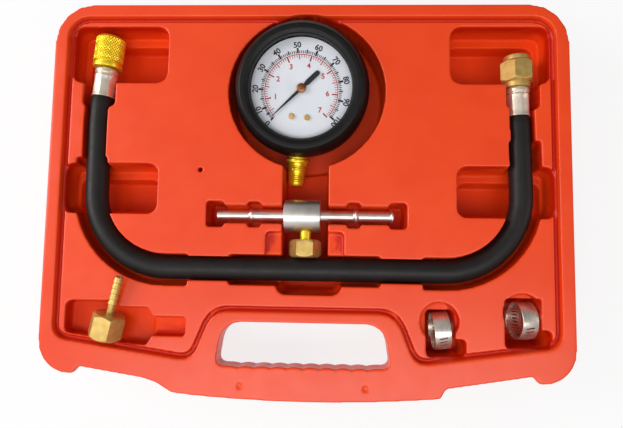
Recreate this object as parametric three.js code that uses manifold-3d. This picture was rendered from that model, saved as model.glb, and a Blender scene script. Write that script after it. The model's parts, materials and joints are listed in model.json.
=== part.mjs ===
// Fuel pressure tester: a gauge, a tee, a hose with a fitting at each end, a hose barb and two
// hose clamps, each lying in its pocket of a moulded carry case. Millimetres, X to the right,
// Y towards the back of the case, Z up, origin under the middle of the case.
import * as THREE from 'three';
import { mergeVertices } from 'three/addons/utils/BufferGeometryUtils.js';
import Module from 'manifold-3d';

const wasm = await Module();
wasm.setup();

// Driving dimensions

const fit = {
  same: 0.0003,   // points closer than this are one point
  seat: 0.3,      // gap between a piece and what carries it
  running: 0.3,   // gap round a piece that turns
  overrun: 3,     // how far a cutter runs past the face that it opens
};

const tray = {
  height: 40, wall: 2, underGap: 1, sideMargin: 25.5, backMargin: 5.9,
  cornerRadius: 22, flange: 7, flangeThickness: 5, flangeOverhang: 3.3,
  grooveWidth: 3, grooveDepth: 4, grooveDraft: 0.7, deckDrop: 1.5, innerCorner: 12, footChamfer: 3,
  pinHole: 2.8, pinHoleX: -60, pinHoleY: 15.2,
};

const lobe = { radius: 18, flat: 1.85, step: 3.2, blend: 14, smallRadius: 2.4, behind: 12.3, notchBehind: 16.3 };
const lobeShares = { shoulder: 0.18 };

const handle = {
  toHose: 29, holeLength: 96, holeWidth: 24.6, topLength: 89, bar: 17.6, bow: 3.4, thickness: 15,
  holeRadius: 12, heelRadius: 4, web: 5.5, halfLength: 74.4, rampLength: 6, stepBehind: 8.7,
  shoulderBehind: 11, scallopPitch: 8.9, scallopDepth: 0.9, dimple: 3.4, dimpleDepth: 0.8,
  dimpleX: 34.2, dimpleBehind: 7.8, grooveHeel: 13.4, grooveToe: 24.4,
  grooveHeelBehind: 20.3, grooveToeBehind: 31.5,
};
const scallops = 9;

const pocket = {
  draft: 4, ledgeDraft: 8, scoopDraft: 7, plainDraft: 1, corner: 6, edge: 2.6, ledgeDepth: 16,
    ledgeWidth: 3.6,
  ledgeInset: 5.4, ledgeShift: 1.44, fullDepth: 27, fingerLength: 29, toolLength: 33.4,
};

const gauge = {
  tilt: 8, turn: -4, shiftX: -2.9, shiftY: 5.6, pocketRadius: 44.8, pocketX: -0.3, pocketDraft: 1,
  stemReach: 55.9, stemHeight: 12, channelWidth: 25.8, channelFloor: 8,
};
const boot = {
  radius: 39, backRadius: 34.5, lipRadius: 35.4, lipInner: 30, height: 32, back: 2.5, backOpening: 24,
  waist: 12, shoulder: 23, lip: 1.3,
};
const can = { radius: 31.4, wall: 0.9, depth: 23.4, plugHole: 5 };
const bezel = { wall: 0.8, face: 1.2, skirt: 4.4, opening: 28.9 };
const lens = { thickness: 1.2 };
const gasket = { thickness: 0.9, width: 1.6 };
const dial = { radius: 29.2, thickness: 0.6, height: 24, hole: 1.6, screwX: 4.5, screwDrop: 16.3 };
const dialScrew = { head: 1.7, headHeight: 0.9, shank: 0.8, length: 1.9 };
const pointer = {
  length: 23.4, tail: 13.9, thickness: 0.45, hub: 2.7, hubHeight: 1.7, lift: 0.5, sweep: 270,
  start: 227.5,
};
const pointerShares = { tip: 0.07, waist: 0.3, tail: 0.52 };
const movement = {
  plate: 0.8, plateWidth: 18, plateTop: 7, plateLow: 21, arbor: 0.6, pinion: 1.1, pinionHeight: 1.6,
  pivotDrop: 11, sector: 0.8, sectorArbor: 0.7, tailLength: 8, tailAngle: -18, linkThickness: 0.7,
  linkWidth: 2.4, pillar: 1.2, pillarX: 7, pillarY: 3.4, space: 4.4, sectorLift: 1.3, springTurns: 3,
  springInner: 1.3, springPitch: 1.1, springStrip: 0.4, bossRadius: 2, corner: 2,
  linkPin: 0.5, sectorHub: 1.68, webFoot: 1.4,
};
const movementShares = { rimSpare: 0.125 };
const sectorRatio = 9;
const bourdon = { radius: 20, strip: 2.4, height: 7, start: -111, end: -378, lug: 1.6 };
const socket = {
  blockWidth: 13, blockTop: 12, blockHeight: 9, blockDrop: 1, neck: 5, wrenchWidth: 12,
  wrenchLength: 8, collar: 6.6, collarLength: 2, relief: 4.9, thread: 5.7, threadTaper: 0.9,
  threadLength: 12.5, tipLength: 1, tipRadius: 4.2, bore: 1.5,
};
const plug = { radius: 5, thickness: 2.2, rim: 1.5 };

const tee = {
  gap: 10.2, drop: 7.5, block: 9.2, blockLength: 20.6, blockShift: -1.9, leftTube: 3.5, leftTip: 2.5,
  leftBead: 4, leftTubeLength: 17.3, leftBeadLength: 2.3, leftTipLength: 19, rightTube: 3.3,
  rightBead: 4.6, rightTubeLength: 18.6, rightBeadLength: 3.2, rightTipLength: 17.8, endBead: 3.85,
  endBeadLength: 2, bore: 1.5, socketDepth: 6, pocketHalf: 5.1, wideHalf: 7.2, endReach: 5.2,
  endSide: 1.55, endDepth: 19.5, wideLength: 7, pocketCorner: 1.6, bevel: 0.4, beadBevel: 0.6,
};
const adapter = {
  neck: 3.15, neckLength: 4.4, hex: 16, hexLength: 9.9, chamfer: 1, bore: 1.5, socket: 4.4,
  socketDepth: 7.5,
};
const hexLedge = { reach: 9, depth: 3, corner: 2 };

const hose = {
  outer: 13, bore: 6.4, halfSpan: 121.5, bendRadius: 43, gap: 0.5, sink: 0.5, leftEnd: 114.6,
  rightEnd: 104.2, leanOut: 0.5, lean: 5.4, rightLean: 1, leanStart: 82, leanLength: 12, steps: 44,
  sides: 10,
  crimped: 11, channelPlay: 0.3, wideInner: 1, wideOuter: 3.2, midWide: 42.6, midBack: 1.4,
  midFront: 2.2, throatSide: 0.3, throatDepth: 18, throatCorner: 3, throatShift: 1,
};
const hoseRecess = { left: 16, right: 21, ahead: 14, depth: 22 };
const nipple = {
  tail: 2.6, tailLength: 14, collarLength: 1.4, neck: 3.4, flange: 5.2, flangeLength: 2.4,
  flangeRim: 1, bore: 1.7,
};
const ferrule = { radius: 6.5, leftLength: 15.6, rightLength: 15.4, ring: 0.35, ringLength: 1.6 };
const knurledNut = { radius: 8.5, length: 18, chamfer: 1.4, socket: 6, endWall: 3, neckLength: 1.5 };
const hexNut = {
  across: 17, length: 18.5, chamfer: 1.4, collar: 7.2, collarLength: 3, mouthLength: 2.8, socket: 6,
  endWall: 3, neckLength: 0.3,
};
const washer = { thickness: 1.4, hole: 2 };

const barb = {
  hex: 16.6, hexLength: 14, stem: 2.1, ridge: 2.55, stemLength: 21.2, ridges: 5, ridgePitch: 3.1,
  bore: 1.3, socket: 5.2, socketDepth: 9, tilt: 8, heading: 75, lift: 10, fromSide: 38.1, toHose: 32.6,
  chamfer: 1.2, tipLength: 1,
};
const barbShares = { ridgeHeel: 0.6, ridgeFoot: 0.7 };
const barbPocket = {
  fromSide: 13.5, wideLength: 46.5, narrowLength: 21.5, back: 19, front: 43, slope: 6.2, step: 3,
  narrowBack: 27, narrowFront: 37.9, depth: 9, narrowDepth: 6.5, corner: 3.5, frontStep: 12,
};

const clamp = {
  outer: 20.8, band: 0.9, width: 9, housing: 10, housingWidth: 9.6, housingHeight: 5.4, screw: 2.5,
  head: 7, headHeight: 3.6, bodyLength: 11.5, slot: 0.8, slotDepth: 1, sink: 0.3,
};
const clampPocket = { radius: 10.8, ledge: 4, legDepth: 20, legWidth: 9.8, corner: 2.5 };
// Each clamp: how far its ring lies from the case's side and the hose, how far its pocket reaches
// from the ring's middle, how the ring is turned and leans, and how far round it the housing is
const leftClamp = {
  fromSide: 70.6, toHose: 32.6, turn: 6, lean: 0, roll: 180, below: 7.2, pocketShift: -2, pocketBack: 16.2,
  slotLeft: 9.3, slotRight: 6.6, slotBack: 20.6, slotFront: 46, legRight: 12.4,
};
const rightClamp = {
  fromSide: 24.9, toHose: 26.2, turn: 1, lean: -9, roll: 180, below: 7.2, pocketShift: -2.8, pocketBack: 10.8,
  slotLeft: 12.6, slotRight: 11, slotBack: 13.6, slotFront: 40.6, legRight: 12.8,
};

// Places worked out from the dimensions

const deckZ = tray.height - tray.deckDrop;
const halfWidth = hose.halfSpan + tray.sideMargin;
const barbX = barb.fromSide - halfWidth;
const tilt = THREE.MathUtils.degToRad(gauge.tilt);
const pocketToStemEnd = gauge.stemReach * Math.cos(tilt) + gauge.stemHeight * Math.sin(tilt) - gauge.shiftY;
const hoseRadius = hose.outer / 2;
const teeLength = 2 * tee.block + adapter.neckLength + adapter.hexLength;
const trayDepth = tray.backMargin + gauge.pocketRadius + pocketToStemEnd + tee.gap + teeLength + hose.gap
  + hoseRadius + handle.toHose + handle.holeWidth + handle.bar;
const backY = trayDepth / 2;
const frontY = -trayDepth / 2;
const pocketY = backY - tray.backMargin - gauge.pocketRadius;
const teeY = pocketY - pocketToStemEnd - tee.gap - tee.block;
const adapterEndY = teeY - tee.block - adapter.neckLength - adapter.hexLength;
const hoseY = adapterEndY - hose.gap - hoseRadius;
const holeBackY = hoseY - handle.toHose;
const holeFrontY = holeBackY - handle.holeWidth;
const hoseZ = deckZ - hoseRadius - hose.sink;
const teeZ = deckZ - tee.drop;
const floorLow = 2 * tray.wall + tray.underGap;
const gaugeY = pocketY + gauge.shiftY;
const gaugeX = gauge.pocketX + gauge.shiftX;
const gaugeZ = floorLow + (gaugeY - pocketY + gauge.pocketRadius) * Math.tan(tilt) + fit.seat / Math.cos(tilt);

// Solids

const solidOf = (geometry) => {
  const bare = geometry.index ? geometry.toNonIndexed() : geometry.clone();
  bare.deleteAttribute('normal');
  bare.deleteAttribute('uv');
  const merged = mergeVertices(bare, fit.same);
  return new wasm.Manifold(new wasm.Mesh({
    numProp: 3,
    vertProperties: merged.attributes.position.array,
    triVerts: new Uint32Array(merged.index.array),
  }));
};

const geometryOf = (solid) => {
  const mesh = solid.getMesh();
  const geometry = new THREE.BufferGeometry();
  const places = new Float32Array(mesh.numVert * 3);
  for (let i = 0; i < mesh.numVert; i += 1) {
    for (let k = 0; k < 3; k += 1) places[i * 3 + k] = mesh.vertProperties[i * mesh.numProp + k];
  }
  geometry.setAttribute('position', new THREE.BufferAttribute(places, 3));
  geometry.setIndex(new THREE.BufferAttribute(new Uint32Array(mesh.triVerts), 1));
  geometry.computeVertexNormals();
  return geometry;
};

const joined = (solids) => solids.reduce((sum, next) => sum.add(next));
const cutBy = (solid, cutters) => cutters.reduce((left, next) => left.subtract(next), solid);

// A closed outline from corners [x, y, radius], each rounded by an arc of short straight steps.
const roundedOutline = (corners, stepAngle = Math.PI / 8) => {
  const points = [];
  corners.forEach(([x, y, radius = 0], i) => {
    const here = new THREE.Vector2(x, y);
    const before = new THREE.Vector2(...corners.at(i - 1).slice(0, 2)).sub(here);
    const after = new THREE.Vector2(...corners[(i + 1) % corners.length].slice(0, 2)).sub(here);
    const room = Math.min(before.length(), after.length()) / 2;
    const opening = Math.abs(Math.atan2(before.cross(after), before.dot(after)));
    const wanted = Math.min(radius / Math.tan(opening / 2), room);
    if (radius === 0 || Math.PI - opening < stepAngle / 4) {
      points.push(here);
      return;
    }
    const start = before.clone().setLength(wanted);
    const end = after.clone().setLength(wanted);
    const real = wanted * Math.tan(opening / 2);
    const centre = start.clone().add(end).setLength(real / Math.sin(opening / 2));
    const from = start.clone().sub(centre).angle();
    let turn = end.clone().sub(centre).angle() - from;
    if (turn > Math.PI) turn -= 2 * Math.PI;
    if (turn < -Math.PI) turn += 2 * Math.PI;
    const steps = Math.max(2, Math.round(Math.abs(turn) / stepAngle));
    for (let k = 0; k <= steps; k += 1) {
      const angle = from + (turn * k) / steps;
      points.push(new THREE.Vector2(Math.cos(angle),
        Math.sin(angle)).multiplyScalar(real).add(centre).add(here));
    }
  });
  return points;
};

const circleOutline = (x, y, radius, sides = 24) => Array.from({ length: sides }, (_, k) => {
  const angle = (2 * Math.PI * k) / sides;
  return new THREE.Vector2(x + radius * Math.cos(angle), y + radius * Math.sin(angle));
});

const arcPoints = (x, y, radius, from, to, steps) => Array.from({ length: steps + 1 }, (_, k) => {
  const angle = from + ((to - from) * k) / steps;
  return [x + radius * Math.cos(angle), y + radius * Math.sin(angle)];
});

const boxCorners = (left, right, front, back, radius = 0) => [
  [left, front, radius], [right, front, radius], [right, back, radius], [left, back, radius],
];

const boxOutline = (...box) => roundedOutline(boxCorners(...box));
const squared = (corners) => corners.map(([x, y]) => new THREE.Vector2(x, y));

// The outline moved out by a distance, square to its edges; a negative distance moves it in.
const sharpestShare = 0.4;
const offsetOutline = (outline, distance) => {
  const ring = THREE.ShapeUtils.area(outline) > 0 ? outline : [...outline].reverse();
  return ring.map((point, i) => {
    const a = point.clone().sub(ring.at(i - 1)).normalize();
    const b = ring[(i + 1) % ring.length].clone().sub(point).normalize();
    const normal = new THREE.Vector2(a.y + b.y, -a.x - b.x).normalize();
    return point.clone().addScaledVector(normal, distance / Math.max(sharpestShare,
      normal.dot(new THREE.Vector2(a.y, -a.x))));
  });
};

const prism = (outline, low, high) => {
  const geometry = new THREE.ExtrudeGeometry(new THREE.Shape(outline),
    { depth: high - low, bevelEnabled: false });
  return solidOf(geometry.translate(0, 0, low));
};

const block = (left, right, front, back, low, high) => prism(boxOutline(left, right, front, back), low,
  high);

// A solid whose outline is full size at the top and drawn in by a run at the bottom.
const drafted = (outline, low, high, run) => {
  const geometry = new THREE.ExtrudeGeometry(new THREE.Shape(outline), {
    depth: fit.overrun, bevelEnabled: true, bevelThickness: high - low, bevelSize: run, bevelOffset: -run,
    bevelSegments: 1,
  });
  return solidOf(geometry.translate(0, 0, high));
};

const trimmed = (outline, low, high, run) => {
  const reach = Math.max(...outline.map((point) => point.length())) + fit.overrun;
  return drafted(outline, low, high, run).intersect(block(-reach, reach, -reach, reach, low - fit.overrun,
    high));
};

// A turned piece: profile points [radius, height] round the Z axis.
const turned = (profile, sides = 24) => {
  const points = profile.map(([radius, height]) => new THREE.Vector2(radius, height));
  return solidOf(new THREE.LatheGeometry(points, sides));
};

const standing = (solid) => solidOf(geometryOf(solid).rotateX(Math.PI / 2));
const lathe = (profile, sides) => standing(turned([...profile, profile[0]], sides));

const rod = (radius, low, high, sides = 20) => {
  const geometry = new THREE.CylinderGeometry(radius, radius, high - low, sides);
  return solidOf(geometry.rotateX(Math.PI / 2).translate(0, 0, (low + high) / 2));
};

const hexOutline = (across, turn = 0) => Array.from({ length: 6 }, (_, k) => {
  const angle = turn + (Math.PI * k) / 3;
  return new THREE.Vector2(Math.cos(angle), Math.sin(angle)).multiplyScalar(across / Math.sqrt(3));
});

// A hexagon bar whose corners are turned down by a chamfer at both ends.
const hexBar = (across, low, high, chamfer) => {
  const corner = across / Math.sqrt(3);
  const flat = across / 2;
  const drop = (corner - flat) + chamfer;
  const cone = lathe([[0, low], [flat - chamfer / 2, low], [corner + chamfer, low + drop],
    [corner + chamfer, high - drop],
    [flat - chamfer / 2, high], [0, high]], 24);
  return prism(hexOutline(across), low, high).intersect(cone);
};

const placed = (solid, matrix) => solidOf(geometryOf(solid).applyMatrix4(matrix));

// Materials

const finish = (color, roughness, metalness = 0) => new THREE.MeshStandardMaterial({ color, roughness,
  metalness });
const plasticRed = () => finish(0xf0401c, 0.42);
const rubberBlack = () => finish(0x1b1b1c, 0.6);
const hoseBlack = () => finish(0x222224, 0.5);
const brassBright = () => finish(0xc9a24a, 0.28, 1);
const brassGold = () => finish(0xe0b02a, 0.32, 1);
const aluminiumTurned = () => finish(0xc4c6ca, 0.3, 1);
const nickelPlate = () => finish(0xb9b4ad, 0.2, 1);
const stainless = () => finish(0xc0bfbc, 0.2, 1);
const blackEnamel = () => finish(0x101011, 0.35, 0.2);
const clearPlastic = () => new THREE.MeshStandardMaterial({ color: 0xf2f6f8, roughness: 0.05,
  transparent: true, opacity: 0.3 });
const dialWhite = () => finish(0xe4ebf2, 0.5);
const bronze = () => finish(0xa9743f, 0.35, 1);

const meshOf = (name, solid, material) => {
  const mesh = new THREE.Mesh(geometryOf(solid), material);
  mesh.name = name;
  return mesh;
};

// Hose route, seen from above: up the right side, round the front and up the left side

const bendY = hoseY + hose.bendRadius;
const bendX = hose.halfSpan - hose.bendRadius;
const lean = THREE.MathUtils.degToRad(hose.lean);

const bend = (centreX, from, to, count) => Array.from({ length: count + 1 }, (_, k) => {
  const angle = from + ((to - from) * k) / count;
  return [centreX + hose.bendRadius * Math.cos(angle), bendY + hose.bendRadius * Math.sin(angle)];
});

const between = (a, b, count) => Array.from({ length: count - 1 }, (_, k) => {
  const share = (k + 1) / count;
  return [a[0] + (b[0] - a[0]) * share, a[1] + (b[1] - a[1]) * share];
});

const routeParts = (() => {
  const rightTop = [hose.halfSpan - hose.rightLean, hoseY + hose.rightEnd];
  const rightFoot = [hose.halfSpan, bendY];
  const leftFoot = [-hose.halfSpan, bendY];
  const leftKnee = [-hose.halfSpan - hose.leanOut, hoseY + hose.leanStart];
  const rest = hose.leftEnd - hose.leanStart;
  const leftTop = [leftKnee[0] + Math.tan(lean) * (rest - hose.leanLength / 2), hoseY + hose.leftEnd];
  const kneeOut = [leftKnee[0] + Math.tan(lean) * (hose.leanLength / 2), leftKnee[1] + hose.leanLength];
  return {
    right: [rightTop, ...between(rightTop, rightFoot, 4)],
    rightBend: bend(bendX, 0, -Math.PI / 2, 12),
    run: between([bendX, hoseY], [-bendX, hoseY], 12),
    leftBend: bend(-bendX, -Math.PI / 2, -Math.PI, 12),
    left: [...between(leftFoot, leftKnee, 4), leftKnee, kneeOut, leftTop],
  };
})();
const routePoints = Object.values(routeParts).flat();

// The strip of floor plan that follows part of the route, so far to its inner and its outer side.
const routeStrip = (points, inner, outer) => {
  const flat = points.map(([x, y]) => new THREE.Vector2(x, y));
  const side = (distance) => flat.map((point, i) => {
    const along = flat[Math.min(i + 1, flat.length - 1)].clone().sub(flat[Math.max(i - 1,
      0)]).normalize();
    return point.clone().add(new THREE.Vector2(-along.y, along.x).multiplyScalar(distance));
  });
  return [...side(outer), ...side(-inner).reverse()].map((point) => point.toArray());
};

// Case

const caseOutline = () => {
  const lobeX = halfWidth - lobe.radius - lobe.flat;
  const notchX = lobeX - lobe.step;
  const lobeY = frontY + lobe.behind;
  const notchY = frontY + lobe.notchBehind;
  const barEnd = handle.halfLength;
  const rampEnd = barEnd + handle.rampLength;
  const shoulderX = rampEnd + lobeShares.shoulder * (notchX - rampEnd);
  const bow = (x) => frontY + handle.bow * (x / barEnd) ** 2;
  const bowPoints = between([barEnd, 0], [-barEnd, 0], 10).map(([x]) => [x, bow(x)]);
  const corner = (side) => arcPoints(side * (halfWidth - lobe.radius), lobeY + lobe.radius, lobe.radius,
    side > 0 ? 0 : -Math.PI / 2, side > 0 ? -Math.PI / 2 : -Math.PI, 6);
  return roundedOutline([
    [-halfWidth, backY, tray.cornerRadius], [halfWidth, backY, tray.cornerRadius],
    ...corner(1), [lobeX, lobeY, lobe.smallRadius], [notchX, notchY, lobe.smallRadius],
    [barEnd + handle.rampLength / 2, frontY + handle.stepBehind, lobe.smallRadius],
    [barEnd, bow(barEnd), lobe.smallRadius], ...bowPoints,
    [-barEnd + handle.rampLength / 2, bow(barEnd), lobe.blend / 3],
    [-rampEnd, frontY + handle.stepBehind, lobe.blend / 2],
    [-shoulderX, frontY + handle.shoulderBehind, lobe.blend],
    [-notchX, notchY, lobe.smallRadius], [-lobeX, lobeY, lobe.smallRadius], ...corner(-1),
  ]);
};

const grooveOutline = () => {
  const side = halfWidth - tray.flange;
  const toe = frontY + handle.grooveToeBehind;
  const heel = frontY + handle.grooveHeelBehind;
  const top = holeBackY + handle.web;
  const grooveHeelX = handle.halfLength - handle.grooveHeel;
  const grooveToeX = handle.halfLength - handle.grooveToe;
  return roundedOutline([
    [-side, backY - tray.flange, tray.innerCorner], [side, backY - tray.flange, tray.innerCorner],
    [side, toe, tray.innerCorner - tray.grooveWidth], [grooveHeelX, heel,
    tray.innerCorner - tray.grooveWidth],
    [grooveToeX, top, tray.innerCorner], [-grooveToeX, top, tray.innerCorner],
    [-grooveHeelX, heel, tray.innerCorner - tray.grooveWidth],
    [-side, toe, tray.innerCorner - tray.grooveWidth],
  ]);
};

const handleHoleCorners = (bumps = []) => {
  const half = handle.holeLength / 2;
  return [
    [-handle.topLength / 2, holeBackY, handle.holeRadius], [-half, holeFrontY + handle.scallopDepth,
    handle.heelRadius],
    ...bumps, [half, holeFrontY + handle.scallopDepth, handle.heelRadius],
    [handle.topLength / 2, holeBackY, handle.holeRadius],
  ];
};

const handleHoleOutline = () => {
  const reach = (scallops * handle.scallopPitch) / 2;
  const bumps = Array.from({ length: scallops * 4 + 1 }, (_, k) => {
    const x = -reach + (k * handle.scallopPitch) / 4;
    return [x, holeFrontY + handle.scallopDepth * Math.abs(Math.cos((Math.PI * k) / 4))];
  });
  return roundedOutline(handleHoleCorners(bumps));
};

const draftRun = (depth, angle = pocket.draft) => depth * Math.tan(THREE.MathUtils.degToRad(angle));

// Every pocket is an outline at deck level, a depth below the deck and the draft of its walls.
const trayPockets = () => {
  const half = halfWidth - tray.flange - tray.grooveWidth / 2 + fit.seat;
  const grip = hoseRadius + hose.channelPlay;
  const hoseDepth = hose.outer + hose.sink + fit.seat;
  const top = backY - tray.flange - tray.grooveWidth - pocket.edge;
  const toolFront = top - pocket.toolLength;
  const nutSide = hose.halfSpan - knurledNut.radius;
  const list = [];
  const add = (corners, depth, draft = pocket.draft) => list.push({ corners, depth, draft });

  add(routeStrip(routePoints, grip, grip), hoseDepth, pocket.plainDraft);
  const leftWide = [...routeParts.run.slice(-1), ...routeParts.leftBend, ...routeParts.left.slice(0, 2)];
  const rightWide = [...routeParts.right.slice(-2), ...routeParts.rightBend,
    ...routeParts.run.slice(0, 1)];
  for (const strip of [leftWide, rightWide]) {
    add(routeStrip(strip, grip + hose.wideInner, grip + hose.wideOuter), hoseDepth);
  }
  add(boxCorners(-hose.midWide, hose.midWide, hoseY - grip - hose.midFront, hoseY + grip + hose.midBack,
    hexLedge.corner), hoseDepth);
  add(boxCorners(-hoseRecess.left, hoseRecess.right, hoseY - hoseRecess.ahead, hoseY, pocket.corner),
    hoseRecess.depth,
    pocket.ledgeDraft);

  // tool and finger pockets down the two sides
  const inner = nutSide - pocket.toolLength + pocket.ledgeShift;
  for (const side of [-1, 1]) {
    const box = (near, far, front, back, radius) => boxCorners(Math.min(side * near, side * far),
      Math.max(side * near, side * far), front, back, radius);
    add(box(inner, half - pocket.ledgeWidth / 2, toolFront, top, pocket.corner), pocket.ledgeDepth);
    add(box(inner, half - pocket.ledgeInset, toolFront, top - pocket.ledgeInset, pocket.corner),
      pocket.fullDepth);
    const finger = bendY + pocket.ledgeDepth;
    const fingerFront = finger - pocket.fingerLength;
    add(box(nutSide - pocket.fingerLength, half, fingerFront, finger, pocket.corner), pocket.ledgeDepth,
      pocket.ledgeDraft);
    add(box(nutSide - pocket.fingerLength + pocket.ledgeWidth / 2, half - pocket.ledgeWidth / 2,
      fingerFront,
      finger - pocket.ledgeInset, pocket.corner), pocket.fullDepth, pocket.scoopDraft);
  }

  // throats for the ferrules, between the hose channel and the tool pockets
  const throat = hose.wideOuter - hose.throatSide + hoseRadius;
  for (const middle of [hose.throatShift - hose.halfSpan, hose.halfSpan]) {
    add(boxCorners(middle - throat, middle + throat, toolFront - ferrule.leftLength + fit.overrun / 2,
      toolFront + pocket.corner * 2, hose.throatCorner), hose.throatDepth);
  }

  // gauge stem channel, tee saddles and the ledge round the hexagon
  const channel = gauge.channelWidth / 2;
  add(boxCorners(-channel, channel, hoseY, pocketY - gauge.pocketRadius + pocket.corner),
    deckZ - gauge.channelFloor,
    pocket.plainDraft);
  const teeDepth = (radius) => tee.drop + radius + fit.seat;
  const leftEndX = tee.blockShift - tee.blockLength / 2 - tee.leftTubeLength - tee.leftBeadLength - tee.leftTipLength;
  const rightEndX = tee.blockShift + tee.blockLength / 2 + tee.rightTubeLength + tee.rightBeadLength + tee.rightTipLength
    + tee.endBeadLength;
  const strip = (from, to, halfBand, depth) => add(
    boxCorners(from, to, teeY - halfBand, teeY + halfBand, tee.pocketCorner), depth, pocket.draft / 2);
  strip(leftEndX, 0, tee.pocketHalf, teeDepth(tee.leftTip));
  strip(0, rightEndX, tee.pocketHalf, teeDepth(tee.rightTube));
  strip(leftEndX - tee.endReach, leftEndX + tee.endReach, tee.wideHalf, tee.endDepth);
  strip(rightEndX - tee.endReach + tee.endBeadLength, rightEndX + tee.endReach + tee.endSide,
    tee.wideHalf, tee.endDepth);
  const leftBeadX = leftEndX + tee.leftTipLength;
  const rightBeadX = rightEndX - tee.endBeadLength - tee.rightTipLength;
  strip(leftBeadX - 3 * fit.seat, leftBeadX + tee.wideLength, tee.wideHalf, teeDepth(tee.leftBead));
  strip(leftBeadX, 0, tee.pocketHalf, teeDepth(tee.leftBead));
  strip(rightBeadX - tee.wideLength, rightBeadX + 3 * fit.seat, tee.wideHalf, teeDepth(tee.rightBead));
  strip(0, rightBeadX, tee.pocketHalf, teeDepth(tee.rightBead));
  add(boxCorners(-channel - hexLedge.reach, channel + hexLedge.reach, hoseY, teeY - tee.block - fit.seat,
    hexLedge.corner),
    hexLedge.depth);

  // hose barb pocket, with its slanting front edge
  const barbLeft = barbPocket.fromSide - halfWidth;
  const barbRight = barbLeft + barbPocket.wideLength;
  const wide = [
    [barbLeft, hoseY - barbPocket.back, barbPocket.corner],
    [barbX + barbPocket.step, hoseY - barbPocket.back, barbPocket.step],
    [barbX + 2 * barbPocket.step, hoseY - barbPocket.back - barbPocket.step, barbPocket.step],
    [barbRight, hoseY - barbPocket.back - barbPocket.step, barbPocket.step / 2],
    [barbRight + barbPocket.step, hoseY - barbPocket.narrowBack, barbPocket.step / 2],
    [barbRight + barbPocket.step, hoseY - barbPocket.narrowFront, barbPocket.step / 2],
    [barbRight, hoseY - barbPocket.front, barbPocket.step / 2],
    [barbX, hoseY - barbPocket.front + barbPocket.step / 2, barbPocket.step],
    [barbX - barbPocket.frontStep, hoseY - barbPocket.front + barbPocket.slope - barbPocket.step / 2,
    barbPocket.step],
    [barbLeft, hoseY - barbPocket.front + barbPocket.slope, barbPocket.corner],
  ];
  add(wide, barbPocket.depth);
  add(boxCorners(barbRight - barbPocket.corner, barbRight + barbPocket.narrowLength,
    hoseY - barbPocket.narrowFront,
    hoseY - barbPocket.narrowBack, barbPocket.step / 2), barbPocket.narrowDepth);

  // clamp pockets: a round shallow ledge, a deep slot and a leg for the screw
  for (const place of [leftClamp, rightClamp]) {
    const x = halfWidth - place.fromSide;
    const front = hoseY - place.slotFront;
    add(arcPoints(x + place.pocketShift, hoseY - place.pocketBack - clampPocket.radius, clampPocket.radius, 0,
      2 * Math.PI, 24).slice(1),
      clampPocket.ledge);
    add(boxCorners(x - place.slotLeft, x + place.slotRight, front, hoseY - place.slotBack, clampPocket.corner),
      clamp.sink + clamp.outer + place.below + fit.seat, pocket.plainDraft);
    add(boxCorners(x - place.slotLeft, x + place.legRight, front, front + clampPocket.legWidth,
      clampPocket.corner), clampPocket.legDepth);
  }
  return list;
};

// The half of space above the gauge's back, so that its pocket's floor slopes as the gauge does.
const gaugeMatrix = new THREE.Matrix4().compose(
  new THREE.Vector3(gaugeX, gaugeY, gaugeZ),
  new THREE.Quaternion().setFromEuler(new THREE.Euler(tilt, 0, THREE.MathUtils.degToRad(gauge.turn),
  'ZYX')),
  new THREE.Vector3(1, 1, 1),
);

const gaugePocket = (grow) => {
  const reach = 3 * gauge.pocketRadius;
  const outline = circleOutline(gauge.pocketX, pocketY, gauge.pocketRadius + grow, grow > 0 ? 24 : 48);
  const full = drafted(outline, 0, deckZ, draftRun(deckZ, gauge.pocketDraft));
  const above = placed(block(-reach, reach, -reach, reach, -fit.seat - grow, reach), gaugeMatrix);
  return full.intersect(above);
};

const pocketSolids = (grow) => [
  gaugePocket(grow),
  ...trayPockets().map(({ corners, depth, draft }) => drafted(
    grow > 0 ? offsetOutline(squared(corners), grow) : roundedOutline(corners),
    deckZ - depth - grow, deckZ, draftRun(depth, draft))),
];

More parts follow.
